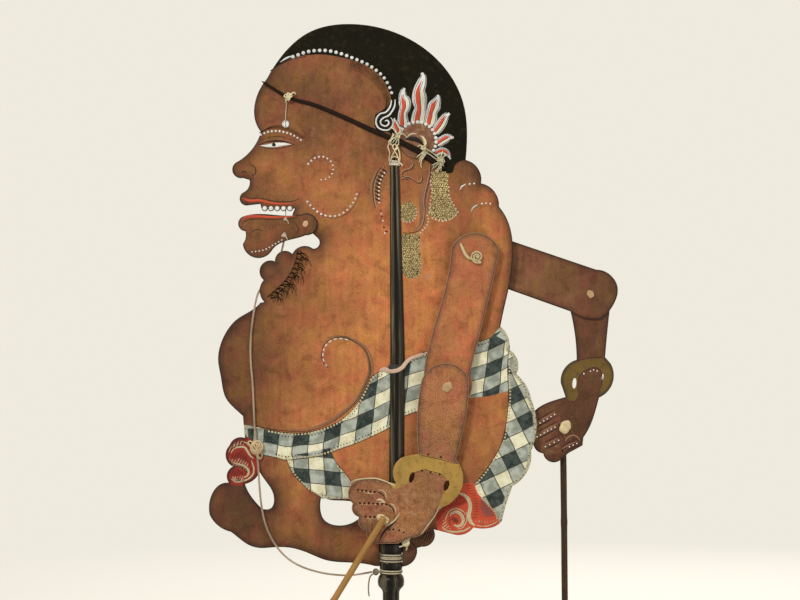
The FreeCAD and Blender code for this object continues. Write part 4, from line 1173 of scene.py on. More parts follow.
LOBES = [(17.5, 97.5), (22, 100), (27, 99.5), (31.5, 97), (31, 92.5), (28.6, 88.6), (24, 87.2),
         (20.5, 88), (18.5, 92)]
black_lines += hatch(LOBES, 68, 1.7, 0.9, trim=0.2)
black_lines.append([(x, z, 0.6) for x, z in ((18, 99), (20.4, 94.6), (24.6, 94), (27.4, 95.6),
                                             (31.6, 93.8))])
black_lines.append([(12.5, 89, 0.4), (15.8, 87.6, 0.7), (18.5, 84.6, 0.7), (19.4, 80.4, 0.4)])

hem_grey = paint_material("hem_grey", (0.15, 0.11, 0.11, 1), (0.2, 0.08, 0.06, 1), 0.5)
for name, lines, material in (
        ("white_strokes", white_lines, bone_white), ("drawn_lines", black_lines, line_black),
        ("hair_strokes", hair_lines, hair_black), ("lip_line", vermilion_lines, vermilion),
        ("cream_scrolls", cream_lines, cream), ("buff_lines", buff_lines, buff),
        ("hatching", hatching, maroon), ("soft_shades", taupe_lines, taupe),
        ("shadow_field_lines", shadow_field_strokes, vermilion), ("hem_strokes", grey_strokes, hem_grey)):
    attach(ridges(name, lines, material), "figure")
for name, places, material in (
        ("white_dots", np.concatenate(white_drops), bone_white),
        ("cream_dots", np.concatenate(cream_drops), cream),
        ("gold_dots", np.concatenate(gold_drops), bright_gold),
        ("gold_pits", np.concatenate(gold_dark), line_black),
        ("gold_rims", np.concatenate(gold_rims), blush),
        ("pupil", face_drops, line_black), ("ear_dots", ear_drops, line_black),
        ("stitch_dots", np.concatenate(stitch_drops), line_black)):
    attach(drops(name, places, material), "figure")
# The teeth are nearly flat, because the jaw closes over them.
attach(drops("teeth", teeth, bone_white, high=0.14), "figure")

# ---- Ear flower ----
# A carved ornament painted behind the ear: a brown disc with a rim of cream pearls and a crown of
# seven flames. A flame is laid in four coats: cream, a pale half, a red heart and fine dark lines.
DISC_MIDDLE, DISC_R = (19.6, 389.2), 14.2

# Each flame: its base, the places up its middle line, and its widths there, which swell and
# narrow so that its edges curl.
FLAMES = [
    [(7.2, 394.5, 6.2), (4.8, 399.2, 6.4), (3.1, 403, 4.4), (2.4, 406.2, 1.2)],
    [(9.2, 400.5, 8.6), (8.9, 409.4, 6.8), (10.5, 414.6, 7.8), (10.1, 419.2, 8.4), (8.8, 422.9, 6.2),
     (9.2, 426.7, 4), (10.3, 428.8, 1.4)],
    [(20.2, 402.6, 10.6), (21.6, 410, 9.8), (22, 414, 8.8), (21.4, 420, 10.8), (21.2, 427, 8.2),
     (23, 432.7, 7.4), (24.2, 437.2, 4.6), (23.2, 440.4, 1.6)],
    [(28.4, 400.6, 7.2), (29.9, 406.4, 9.2), (30.8, 410.9, 8), (32.5, 415.4, 8.8), (34.3, 419.2, 6.6),
     (35.2, 422.2, 3.8), (35.2, 423.8, 1.4)],
    [(32.8, 395.6, 5.6), (36.6, 400.4, 7.4), (39.2, 404.6, 6.2), (41.2, 407.8, 5), (44, 409.8, 1.6)],
    [(34.4, 386.8, 5.4), (38.6, 389.6, 6.6), (42.9, 391.8, 5.2), (47, 391.8, 1.6)],
    [(33.6, 379.6, 4.6), (38.2, 381.6, 5.6), (42.2, 379.6, 4.4), (44.6, 375.6, 1.2)]]
flame_coats = {"flame_cream": [], "flame_pale": [], "flame_red": [], "flame_lines": []}
for flame in FLAMES:
    line = brush(flame, 0.5)
    share = np.linspace(0, 1, len(line))
    line[:, 2] *= 1.1 * (1 + 0.05 * np.sin(14 * share))
    heart = line[:int(len(line) * 0.84)]
    red = beside(heart, 0.22, 0.4)
    red[:, 2] *= np.clip((1 - np.linspace(0, 1, len(red))) * 3.5, 0.05, 1)
    pale = beside(heart, -0.42, 0.22)
    flame_coats["flame_cream"].append(line)
    flame_coats["flame_red"].append(red)
    flame_coats["flame_pale"].append(pale[:int(len(pale) * 0.8)])
    for side, until in ((0.68, 0.97), (-0.12, 0.8), (-0.72, 0.97)):
        fine = beside(line[:int(len(line) * until)], side, 0.0)
        fine[:, 2] = 0.48
        flame_coats["flame_lines"].append(fine)

pale_yellow = paint_material("pale_yellow", (0.8, 0.74, 0.5, 1), (0.42, 0.4, 0.22, 1), 0.5)
for (name, lines), material, high in zip(
        flame_coats.items(), (bone_white, pale_yellow, vermilion, line_black), (0.14, 0.2, 0.22, 0.26)):
    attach(ridges(name, lines, material, high=high), "figure")

# The disc is a shallow turned boss: its height falls from the middle to the rim as a flat arch.
disc_brown = hide_material("disc_brown", (0.27, 0.115, 0.055, 1), (0.12, 0.06, 0.03, 1), least=0.7)


def boss(name, middle, radius, high, material):
    """A flat round boss on each face: rings of points whose height over the hide is high times
    the fourth root of one minus the squared share of the radius, closed inside the hide."""
    around = full_turn(72)
    share = np.array([0.0, 0.3, 0.6, 0.8, 0.92, 0.98, 1.0, 0.97])
    rise = high * (1 - np.minimum(share, 1) ** 2) ** 0.25
    rise[-1] = -0.3
    grids = []
    for face, out in BOTH_FACES:
        x = middle[0] + radius * np.outer(share[::-1], np.cos(around))
        z = middle[1] + radius * np.outer(share[::-1], np.sin(around))
        y = np.broadcast_to((face + out * rise[::-1])[:, None], x.shape)
        grids.append(np.stack((x, y, z), -1))
    return tube_piece(name, grids, material)


disc = boss("ear_disc", DISC_MIDDLE, DISC_R - 0.4, 0.28, disc_brown)
for value_name, number in (("warmth", 0.85), ("wear", 0.5), ("rim", 5.0)):
    lay_value(disc, value_name, lambda x, z, number=number: number)
lay_value(disc, "inland", lambda x, z: DISC_R - np.hypot(x - DISC_MIDDLE[0], z - DISC_MIDDLE[1]))
around = np.radians(np.linspace(-30, 168, 16))
pearls = np.stack((DISC_MIDDLE[0] + DISC_R * np.cos(around), DISC_MIDDLE[1] + DISC_R * np.sin(around),
                   np.full(len(around), 1.4)), -1)
ear_hole = ridges("ear_opening", [
    [(10.5, 390.2, 0.4), (14.8, 391, 4.4), (20, 389.8, 5), (24.4, 386, 0.6)]], line_black,
    high=0.36)
ear_grey = ridges("ear_opening_light", [
    [(11.6, 391.4, 0.4), (14, 393.8, 1.2), (17, 394.8, 1.4), (19.4, 394.2, 0.6)],
    [(22, 393.4, 0.5), (23.8, 391.2, 1.2), (25, 388.2, 1.3), (25.3, 384.8, 0.6)]], pale_yellow,
    high=0.5)
for piece in (disc, drops("disc_pearls", pearls, bone_white), ear_hole, ear_grey):
    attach(piece, "figure")

# ---- Lower jaw ----
# A separate piece of hide that lies in front of the face and turns on a knotted thong. Its skin
# is painted like the face, with a vermilion lip along the top.
JAW_IN, JAW_OUT = 1.05, 2.35     # depths of its two faces, in front of the figure's middle

jaw_paint = hide_material("jaw_paint", SKIN_WARM, SKIN_DUSK, fade=(1.0, 20.0))
jaw_sheet = hide_sheet("jaw_sheet", "lower_jaw", [jaw_paint], grid=2.2, mid=-(JAW_IN + JAW_OUT) / 2,
                       thick=JAW_OUT - JAW_IN)
lay_value(jaw_sheet, "warmth", lambda x, z: 0.3)
JAW_FRONT = ((-JAW_OUT, -1),)


def jaw_ridges(name, lines, material):
    """Raised lines on the outer face of the jaw only, because its inner face lies on the hide."""
    return ridges(name, lines, material, faces=JAW_FRONT)


lip = jaw_ridges("lower_lip", [
    [(-111.5, 330, 0.8), (-108, 332.2, 2.4), (-100, 332.6, 2.3), (-90, 332, 1.8), (-78, 332.3, 1.2),
     (-71, 333, 0.3)]], vermilion)
jaw_lines = jaw_ridges("jaw_lines", [
    [(-111.5, 328, 0.3), (-106, 330.2, 0.5), (-98, 330.7, 0.5), (-88, 330.4, 0.5), (-76, 330.8, 0.4),
     (-70, 331.6, 0.2)],
    [(-105.5, 320.5, 0.2), (-101, 322.8, 0.5), (-96, 322, 0.3)],
    [(-72, 318.5, 0.2), (-69.5, 322.5, 0.5), (-71, 327, 0.3)]], line_black)
jaw_dots = drops("jaw_dots", dotted([(-104, 306), (-95, 307.5), (-88.5, 311), (-80, 316)], 2.7, 0.6),
                 bone_white, faces=JAW_FRONT)
for piece in (jaw_sheet, lip, jaw_lines, jaw_dots):
    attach(piece, "jaw")

# ---- Spring lever ----
# A split strip of dark bamboo, oval in section, lashed to the figure behind the ear and springing
# free in front of it. It pulls the jaw shut by its string. One strip, from the heel to the tip.
LEVER_Y = -(HIDE / 2 + 1.35)
LEVER_LINE = [(40.5, 368.2, 2, 1.2), (25, 378.8, 2.2, 1.3), (11.5, 386.2, 2.1, 1.3), (0, 391.3, 1.9, 1.2),
              (-16.5, 398.3, 1.8, 1), (-37, 407.8, 1.6, 1), (-57.5, 416.2, 1.4, 1), (-77, 422, 1.2, 0.9),
              (-97, 434, 0.9, 0.8)]


def bamboo_material(name, light, dark, streak=0.55, specular=0.35):
    """Split bamboo: long fine fibres along the uv map's u, dark flecks, and a waxy gloss."""
    make, finish, _ = material_nodes(name, 0.36, specular)
    uv = make("UVMap", uv_map="lay").outputs[0]
    place = make("TexCoord").outputs["Object"]
    fibres = noise(make, stretched(make, uv, (0.05, 3.2, 1.0)), 1.0, 5.0, roughness=0.65)
    fine = noise(make, stretched(make, uv, (0.4, 14.0, 1.0)), 1.0, 3.0)
    worn = noise(make, place, 60.0, 3.0)
    colour = mixed(make, ramp(make, fibres, 0.32, 0.68), dark, light)
    colour = mixed(make, times(make, ramp(make, fine, 0.5, 0.72), streak), colour, dark)
    colour = mixed(make, times(make, ramp(make, worn, 0.55, 0.75), 0.35), colour, lit(light, 1.5))
    return finish(colour, graded(make, worn, 0.3, 0.7, 0.28, 0.5), fine, 0.08 * MM)


def bar_rings(places, sides, step, ends=0, blunt=0.12):
    """Rings of a bar with an oval section, carried along a smooth line of x, y, z, half width in
    the plane of the hide and half depth, and that line. Over so many rings at its ends the section
    shrinks as a quarter circle, which begins at the angle blunt."""
    line = smooth_line(places, step)
    tip = np.sin(np.linspace(blunt, np.pi / 2, ends))
    size = np.concatenate((tip, np.ones(len(line) - 2 * ends), tip[::-1]))
    ahead = unit(np.gradient(line[:, :3], axis=0))
    side = unit(np.cross(ahead, (0, 1, 0)))
    return rings_round(line[:, :3], side, np.cross(side, ahead), line[:, 3] * size,
                       line[:, 4] * size, sides), line


def bar(name, places, material, radius=2.0, sides=20, step=1.0, ends=5):
    """A bar as one piece. Its uv map, named lay, runs in millimetres, u along and v round a circle
    of this radius."""
    grid, line = bar_rings(places, sides, step, ends)
    piece = tube_piece(name, [grid], material)
    reach = how_far(line[:, :3])
    round_it = full_turn(sides) * radius
    u = np.append(np.repeat(reach, sides), (0.0, reach[-1]))
    v = np.append(np.tile(round_it, len(line)), (0.0, 0.0))
    corner = np.empty(len(piece.data.loops), np.int32)
    piece.data.loops.foreach_get("vertex_index", corner)
    piece.data.uv_layers.new(name="lay").uv.foreach_set(
        "vector", np.stack((u[corner], v[corner]), -1).astype(np.float32).ravel())
    return piece


dark_bamboo = bamboo_material("dark_bamboo", (0.03, 0.013, 0.007, 1), (0.005, 0.0025, 0.0012, 1),
                              specular=0.1)
lever = bar("lever_strip", [(x, LEVER_Y, z, wide, deep) for x, z, wide, deep in LEVER_LINE],
            dark_bamboo)
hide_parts("spring_stock", "spring_arm")
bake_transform(lever)

# ---- Lashings of the lever ----
# Waxed cotton thread, three to five turns over the lever and through slits in the hide, pulled
# tight and knotted on top. Two runs of thread tie the middle lashing to the rear one.
THREAD_R = 0.4
LAP_POINTS = 44                  # points on a thread for each turn that it makes
WAXED_COTTON = (0.95, 0.79, 0.46, 1)
waxed_thread = thread_material("waxed_thread", WAXED_COTTON, 0.5, 0.4)


def winding(middle, ahead, wide, deep, length, thread, turns, flat=2.0):
    """A thread wound on a bar: a helix round the line ahead, whose turns are ovals wide by deep
    with corners as square as flat makes them. Its turns lie side by side over the length."""
    t = np.linspace(0, 1, turns * LAP_POINTS + 1)
    turned = 2 * np.pi * turns * t
    ahead = np.array(ahead, float) / np.linalg.norm(ahead)
    side = np.cross(ahead, (0, 1, 0))
    c, s = np.cos(turned), np.sin(turned)
    wave = 0.08 * thread * np.sin(5 * turned)
    out = (wide + thread + wave) * np.sign(c) * np.abs(c) ** (2 / flat)
    rise = (deep + thread + wave) * np.sign(s) * np.abs(s) ** (2 / flat)
    run = (t - 0.5) * (length - 2 * thread)
    return (np.array(middle) + run[:, None] * ahead + out[:, None] * side
            + rise[:, None] * np.array((0, 1, 0)))


def overhand(middle, size, turned):
    """The line of a small overhand knot, a trefoil: three loops that pass over and under each
    other, size in radius, turned in the plane of the hide and pulled flat."""
    t = np.linspace(0, 2 * np.pi, 90)
    x = (np.sin(t) + 2 * np.sin(2 * t)) / 3
    z = (np.cos(t) - 2 * np.cos(2 * t)) / 3
    y = 0.3 * np.sin(3 * t)
    c, s = np.cos(turned), np.sin(turned)
    return np.array(middle) + size * np.stack((c * x - s * z, y, s * x + c * z), -1)


def threads(name, lines, radius, material):
    """One piece of several round threads, each along its own line. A list of places is a loose
    end, led smoothly through them."""
    grids = []
    for line in lines:
        line = smooth_line(line, 0.5) if isinstance(line, list) else line
        grids.append(rings_round(line, *carried_frames(line), radius, radius, 7))
    return tube_piece(name, grids, material)


LASH_MIDDLE_Y, LASH_DEEP = -1.45, 2.3
OVER_Y = LASH_MIDDLE_Y - LASH_DEEP - 2.2 * THREAD_R
# Each lashing: its node, its middle, the lever's way there, half its height, the lean of each
# turn in degrees, its knot with the knot's size, and its loose ends, drawn from the knot. The
# first turns lie straight through the slits, which have their own middle, half gap and length.
SLITS = {"spring_lash_front": ((0.4, 391.0), 3.4, 2.0), "spring_lash_middle": ((25.0, 378.8), 4.4, 2.2),
         "spring_lash_rear": ((37.0, 370.6), 4.4, 2.4)}
LASHINGS = (
    ("spring_lash_front", (4.4, 391.0), (11.1, -4.8), 3.9, (-38, -18, 4, 26), (5.2, 392.6), 1.9,
     ([(4.2, 395.4), (1.6, 398.2), (-0.6, 399.4)], [(6.6, 396.4), (7.4, 399.2)],
      [(9, 394.4), (11.8, 391.8)], [(2.6, 391.4), (-1.4, 389.2), (-1, 386.8), (1.2, 386.2)])),
    ("spring_lash_middle", (23.7, 379.7), (15.5, -10.6), 4.4, (-14, 2, 16), (24.4, 383.6), 2.0,
     ([(25.6, 387.2), (24.9, 390.4), (22.2, 393.2)], [(26.3, 386.8), (25.8, 389.8), (24, 392.4)],
      [(22, 385.8), (20, 384.8)], [(23.6, 380), (22.4, 376.4), (21.2, 373)],
      [(24.4, 379.6), (23.2, 375.8), (22.4, 371.6), (22.9, 369)],
      [(25, 380), (24.2, 377), (22.6, 373.6)])),
    ("spring_lash_rear", (36.3, 372.5), (3.5, -2.4), 4.5, (-30, -8, 14, 36), (36.8, 375.0), 2.4,
     ([(35.2, 377.2), (33, 379.2)], [(37.8, 378.4), (38.8, 381.6)], [(39.8, 377.6), (42, 378.8)],
      [(34.6, 372.6), (32.4, 370.8), (31.2, 368.2)], [(38.8, 371.6), (40, 368.4)])))
for node, place, way, high, leans, knot, size, ends in LASHINGS:
    lines = []
    for number, lean in enumerate(np.radians(leans)):
        c, s = np.cos(lean), np.sin(lean)
        turn = (c * way[0] - s * way[1], 0, s * way[0] + c * way[1])
        step = (number - (len(leans) - 1) / 2) * 2.1 * THREAD_R / np.hypot(*way)
        middle = (place[0] + step * way[0], LASH_MIDDLE_Y - 0.12 * (number % 2), place[1] + step * way[1])
        lines.append(winding(middle, turn, high, LASH_DEEP, 3 * THREAD_R, THREAD_R, flat=2.5, turns=1))
    (x, z), half_gap, run = SLITS[node]
    lines.append(winding((x, LASH_MIDDLE_Y + 0.1, z), (way[0], 0, way[1]), half_gap - 0.05,
                         LASH_DEEP - 0.25, run + 0.3, THREAD_R, flat=3.2, turns=2))
    x, z = knot
    lines += [overhand((x, OVER_Y - 0.5, z), size, turned=0.6),
              overhand((x + 0.2, OVER_Y - 0.2, z - 0.3), 0.62 * size, turned=2.1)]
    for end in ends:
        drop = np.linspace(OVER_Y - 0.4, -1.35, len(end) + 1)
        lines.append([(x, drop[0], z)] + [(u, y, w) for (u, w), y in zip(end, drop[1:])])
    piece = threads(node + "_thread", lines, THREAD_R, waxed_thread)
    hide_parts(node)
    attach(piece, "figure")
runs = [[(25.8, -4.3, 383.4), (30, -4.2, 380.9), (33.4, -4.2, 378.2), (36.4, -4.4, 375.6)],
        [(25.6, -4.2, 380.6), (29.4, -4.1, 378.6), (32.6, -4.2, 376.2), (36, -4.4, 374.2)]]
ties = threads("lash_ties", runs, 0.42, waxed_thread)
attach(ties, "figure")

# ---- Jaw string and its knots ----
# A fine twisted string from the lever through the eyelet to the jaw. In front of the hide it
# follows the lever, and behind the hide the jaw. A pale eyelet lines its hole.
STRING_ROUTE = np.array([(-78.2, -2, 417.6), (-79, -1.8, 409), (-79, -1.7, 403.6), (-79, 1.7, 400.4),
                         (-79, 1.7, 394), (-79, 1.5, 342), (-79, 1.4, 336.6), (-79, -0.45, 332.4)]) * MM
EYELET = (-79.0, 402.0)          # where the string goes through the hide
string_cotton = thread_material("string_cotton", (0.6, 0.47, 0.31, 1), 0.6, 0.55)
string_line = nurbs_line(STRING_ROUTE)
cross = int(np.abs(string_line[:, 1]).argmin())
for name, part, body, start, end in (
        ("jaw_string_front", string_line[:cross + 1], "spring", (-0.079, 0, 0.4025), (-0.0785, 0, 0.417)),
        ("jaw_string_back", string_line[cross:], "jaw", (-0.079, 0, 0.400), (-0.079, 0, 0.334))):
    mesh, _ = twisted_strands(name, part, 0.45 * MM, 2, 2.2 * MM, sides=6, step=0.3 * MM)
    piece = new_object(name, mesh, string_cotton)
    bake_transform(piece)
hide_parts("jaw_string")

knot_x, knot_z = -77.0, 422.0
lines = [winding((knot_x, -2.35, knot_z), (17, 0, -6.5), 2.0, 1.6, 4.6, 0.5, turns=5),
         overhand((knot_x - 0.2, -4.3, knot_z + 0.3), 2.7, turned=0.3),
         overhand((knot_x + 0.9, -4.4, knot_z + 0.8), 2.0, turned=1.4),
         [(knot_x + 1, -4.4, knot_z + 1), (knot_x + 4.2, -3.9, knot_z + 3.4),
          (knot_x + 5.6, -3.2, knot_z + 2.2)],
         [(knot_x - 1.2, -4.2, knot_z - 1), (knot_x - 1.6, -3.4, knot_z - 3.6),
          (knot_x - 1.2, -2.2, knot_z - 4.6)]]
spring_tie = threads("spring_knot_thread", lines, 0.5, waxed_thread)
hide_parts("spring_knot")
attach(spring_tie, "spring")
eyelet = ridges("string_eyelet", [brush(np.column_stack(
    (EYELET[0] + 2.35 * np.cos(ellipse), EYELET[1] + 2.35 * np.sin(ellipse), np.full(40, 0.75))),
    0.3)], bone_white)
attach(eyelet, "figure")

for node, (x, z), size in (("jaw_string_knot", (-79, 330.5), 1.25),
                           ("jaw_cord_knot", (-80, 318.5), 1.7)):
    lines = [overhand((x, -JAW_OUT - 0.55, z), size, turned=0.8),
             overhand((x, -JAW_OUT - 0.7, z), 0.6 * size, turned=2.0),
             [(x + 0.3, -JAW_OUT - 0.6, z), (x + 1.6, -JAW_OUT - 0.5, z - 1.4),
              (x + 2.4, -JAW_OUT - 0.4, z - 3.4)]]
    piece = threads(node + "_thread", lines, 0.42, string_cotton)
    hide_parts(node)
    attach(piece, "jaw")

# ---- Main rod and handle ----
# A straight stick of black wood, split down its middle so that its halves clasp the hide, and
# turned below into a handle with a bulge, a waist and two collars. Lacquered, with a painted
# olive highlight in broken bands and a painted brown sheen along its right side.
ROD_SECTIONS = [(82, 0.3, 5.6, 3.6), (135, 4.2, 5.6, 3.6), (232, 4.9, 5.4, 3.5), (345, 3.2, 3.9, 3.2),
                (374, 2.7, 3.4, 3), (375.5, 2.6, 2.9, 2.6), (376.2, 2.6, 1.6, 1.6)]
TURNING = [(-105, 0.4, 0.4), (-104, 1.6, 1.6), (-101, 2.6, 2.6), (-76, 4.4, 4.4), (-50, 6.15, 6.15),
           (-49, 6.2, 6.2), (0, 6.35, 6.35), (49, 6.2, 6.2), (51, 6.25, 6.25), (53, 7, 7),
           (54.6, 8.6, 8.6), (56, 9.6, 9.6), (58.8, 10, 10), (61.5, 9.7, 9.7), (63.4, 8.9, 8.6),
           (64.4, 8, 6), (65, 7.6, 4.6), (67.9, 7.6, 4.6), (68.3, 8.1, 5), (69, 8.5, 5.4),
           (72.5, 8.5, 5.4), (73.2, 8.1, 5), (73.6, 7.6, 4.6), (80.2, 7.6, 4.6), (80.6, 8.4, 5),
           (81.6, 9.1, 5.6), (82.6, 9.2, 5.6), (86.2, 9.2, 5.6), (87.4, 8.7, 5.3), (88.1, 7.2, 4.6),
           (88.3, 4, 2.6)]


def lacquer_material(name, black, olive_highlight, brown):
    """Black lacquer on turned wood: a fine grain along the stick. The attribute across runs from
    -1 to 1 from the left side to the right. A painted highlight lies in grey-olive bands, broken
    into long patches: a strong band left of the middle and a weaker one right of it, and a painted
    brown sheen runs along the right side. High up on the stick the bands are nearly unbroken, and
    the band right of the middle is stronger there."""
    make, finish, _ = material_nodes(name, 0.3, 0.17)
    place = make("TexCoord").outputs["Object"]
    across = laid(make, "across")
    grain = noise(make, stretched(make, place, (1100.0, 1100.0, 22.0)), 1.0, 4.0)
    patch = noise(make, stretched(make, place, (150.0, 150.0, 14.0)), 1.0, 3.0)
    upper = ramp(make, make("SeparateXYZ", {0: place}).outputs[2], 0.25, 0.34)
    # worn and rubbed are masks that break the painted highlight bands into long patches and grain; high
    # up they leave the bands nearly whole.
    worn = joined_values(make, "MAXIMUM", ramp(make, patch, 0.38, 0.6), upper)
    rubbed = times(make, worn, ramp(make, grain, 0.3, 0.62))
    right_highlight_share = graded(make, upper, 0.0, 1.0, 0.5, 0.95)
    # Painted highlight: olive bands left and right of the middle. Painted sheen: brown along the right
    # side.
    left = times(make, ramp(make, across, -0.97, -0.72), ramp(make, across, -0.22, -0.5))
    right = times(make, ramp(make, across, 0.12, 0.3), ramp(make, across, 0.62, 0.42))
    side = times(make, ramp(make, across, 0.55, 0.85), 0.8)
    colour = mixed(make, times(make, left, rubbed), black, olive_highlight)
    colour = mixed(make, times(make, times(make, right, rubbed), right_highlight_share), colour, olive_highlight)
    colour = mixed(make, times(make, side, rubbed), colour, brown)
    return finish(colour, graded(make, patch, 0.3, 0.7, 0.2, 0.42), grain, 0.06 * MM)


def upright_rings(places, sides, arc=(0, 2 * np.pi)):
    """Rings round a Z axis through (z, middle x, half width, half depth), ovals at every height.
    Rings lie at the given heights and 2 mm apart between them."""
    places = np.array(places, float)
    z = np.unique(np.concatenate([np.linspace(a, b, max(int((b - a) / 2), 1) + 1)
                                  for a, b in zip(places[:, 0], places[1:, 0])]))
    middle, wide, deep = (np.interp(z, places[:, 0], places[:, k])[:, None] for k in (1, 2, 3))
    around = np.linspace(*arc, sides, endpoint=arc[1] < 2 * np.pi)
    return np.stack(np.broadcast_arrays(middle + wide * np.cos(around), deep * np.sin(around),
                                        z[:, None]), -1)


# Black, then the colours of the painted olive highlight and of the painted brown sheen.
lacquer = lacquer_material("black_lacquer", (0.006, 0.0038, 0.002, 1), (0.175, 0.145, 0.08, 1),
                           (0.09, 0.05, 0.025, 1))
halves = []
for side in (-1, 1):
    half = upright_rings(ROD_SECTIONS, 22, (0.0, side * np.pi))
    half[..., 1] = side * (HIDE / 2 + 0.03) + half[..., 1] * (1 - (HIDE / 2) / 3.6)
    halves.append(half[:, ::side])
turned = upright_rings([(z, 0.0, wide, deep) for z, wide, deep in TURNING], 40)
rod = tube_piece("main_rod_turned", [turned, *halves], lacquer)
profile = np.array([(z, 0.0, wide) for z, wide, _ in TURNING] + [s[:3] for s in ROD_SECTIONS])
profile = profile[np.argsort(profile[:, 0], kind="stable")]
lay_value(rod, "across", lambda x, z: (x - np.interp(z, profile[:, 0], profile[:, 1]))
          / np.interp(z, profile[:, 0], profile[:, 2]))
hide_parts("main_rod")
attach(rod, "figure")

# ---- Bindings of the main rod ----
# Cream cotton wound on the waist of the handle in single and double rings, with the dark wood
# between them, and a ring at the top of the stick from which crossed threads go to the lever.
RING_DIP = 0.16                  # how far the rings are pulled down in front, over their depth
ring_cotton = thread_material("ring_cotton", (0.57, 0.47, 0.28, 1), 0.5, 0.5)
for node, rings in (("handle_binding_upper", ((79.3, 1), (77, 2), (74.5, 1))),
                    ("handle_binding_lower", ((67.4, 1), (65.7, 1)))):
    lines = [winding((0, 0, z), (0, 0, 1), 7.6, 4.6, 1.12 * laps + 1.1, 0.55, turns=laps)
             for z, laps in rings]
    for line in lines:
        line[:, 2] += RING_DIP * line[:, 1]
    piece = threads(node + "_thread", lines, 0.56, ring_cotton)
    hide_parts(node)
    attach(piece, "figure")

black_thread = thread_material("black_thread", (0.02, 0.017, 0.013, 1), 0.55, 0.6)
for name, rings, wide, deep in (
        ("handle_dark_binding", ((0, 76.9, 7), (0, 66.5, 3)), 7.75, 4.5),
        ("waist_dark_binding", ((4.75, 219.8, 4),), 5.75, 3.9)):
    lines = [winding((x, 0, z), (0, 0, 1), wide, deep, 0.98 * laps, 0.46, turns=laps)
             for x, z, laps in rings]
    piece = threads(name, lines, 0.48, black_thread)
    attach(piece, "figure")

ring_threads = thread_material("rod_ring_cotton", (0.86, 0.72, 0.52, 1), 0.5, 0.6)
top_ring = threads("rod_top_thread", [
    winding((2.7, 0, 373.6), (0, 0, 1), 3.2, 2.8, 2.2, 0.5, turns=1),
    winding((2.7, 0, 371.6), (0, 0, 1), 3.25, 2.8, 3.2, 0.5, turns=2),
    [(5.4, -3.6, 372.6), (7.4, -3, 372.2), (8.6, -2.2, 370.4)]], 0.56, ring_threads)
net = threads("rod_top_threads", [
    [(5.9, -3.5, 373.5), (5, -3.2, 377.5), (2.7, -1.9, 382), (-0.4, -2.2, 388.5)],
    [(-0.4, -3.5, 373.5), (0.6, -3.2, 377.5), (2.9, -2.6, 382), (5.4, -2.6, 387)],
    [(-1.6, -3.4, 373.9), (-1, -3, 380.4), (-2.3, -1.8, 385), (0.2, -2.4, 389)],
    [(6.6, -3, 374.2), (6.4, -2.6, 380.2), (4.6, -2.2, 385.2), (2.2, -2, 386.6), (1.4, -2.2, 384.2),
     (3.4, -2.6, 382.4), (5.2, -2.4, 384.4)],
    [(0.4, -3.3, 376.6), (2.8, -3.4, 377.4), (5.2, -3.3, 376.4)]], 0.42, waxed_thread)

strip_line = [(-9.2, -1, 216.6, 1.1, 0.25), (-4.9, -1.5, 218.3, 1.5, 0.35), (-0.6, -3.2, 216.6, 1.5, 0.4),
              (4.6, -4.5, 217.4, 1.6, 0.4), (8.7, -4.1, 219.9, 1.6, 0.4), (12.2, -2.2, 224.2, 1.4, 0.35),
              (16.5, -1.15, 227, 1.2, 0.3), (25.6, -1, 229.9, 1, 0.25)]
strip_paint = paint_material("strip_paint", (0.68, 0.47, 0.33, 1), (0.36, 0.18, 0.1, 1), 0.5)
strip = bar("waist_strip", strip_line, strip_paint, sides=16, step=0.6)
for piece, node in ((top_ring, "rod_top_binding"), (net, "rod_top_net"), (strip, "waist_stitch")):
    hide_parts(node)
    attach(piece, "figure")

# ---- Knots of the pull cord ----
# The cord is held to the belly by a wound knot of cotton, and its lower end is knotted on the
# handle's collar, with a loose thread hanging from it.
BALL_POINTS = 52                 # points on the thread for each lap of a ball


def wound_ball(middle, half, laps, ways):
    """A thread wound to a ball with half sizes x, y, z. Lap by lap the circle it runs on turns
    about two axes, so that the laps cross, each a little further in or out than the last."""
    t = np.linspace(0, 1, laps * BALL_POINTS + 1)
    turn = 2 * np.pi * laps * t
    lean, spin = ways[0] * np.pi * t, ways[1] * np.pi * t
    out = 1 + 0.05 * np.sin(7.3 * turn / laps)
    x, y, z = np.cos(turn) * out, np.sin(turn) * out, 0.0 * t
    y, z = y * np.cos(lean) - z * np.sin(lean), y * np.sin(lean) + z * np.cos(lean)
    x, z = x * np.cos(spin) - z * np.sin(spin), x * np.sin(spin) + z * np.cos(spin)
    return np.array(middle) + np.stack((x, y, z), -1) * np.array(half)


guide_cotton = thread_material("guide_cotton", (0.74, 0.53, 0.27, 1), 0.6, 0.4)
guide_knot = threads("cord_guide_thread", [
    wound_ball((-100.6, -2.9, 159.4), (4.4, 1.5, 4.9), 9, (2.0, 1.4)),
    wound_ball((-100.8, -2.7, 158.6), (3.4, 1.2, 3.9), 6, (1.3, 2.1)),
    [(-98.6, -3.4, 158.4), (-96.6, -2.2, 156.2), (-95.4, -1.2, 156.6)],
    [(-103.4, -3, 160), (-101.6, -3.6, 155.4), (-98.8, -3, 151.2), (-96.8, -2.2, 152.6),
     (-97.2, -2.6, 156.4), (-98.6, -3.2, 159.6)],
    [(-100.4, -3.8, 158), (-99.6, -3.2, 153.6), (-98, -2.4, 150.6)],
    [(-102, -3.4, 161.6), (-105, -2.8, 164.2), (-107, -2, 163.2), (-104.6, -2.6, 160.4)]],
    0.62, guide_cotton)
soiled_cotton = thread_material("soiled_cotton", (0.27, 0.22, 0.13, 1), 0.6, 0.5)
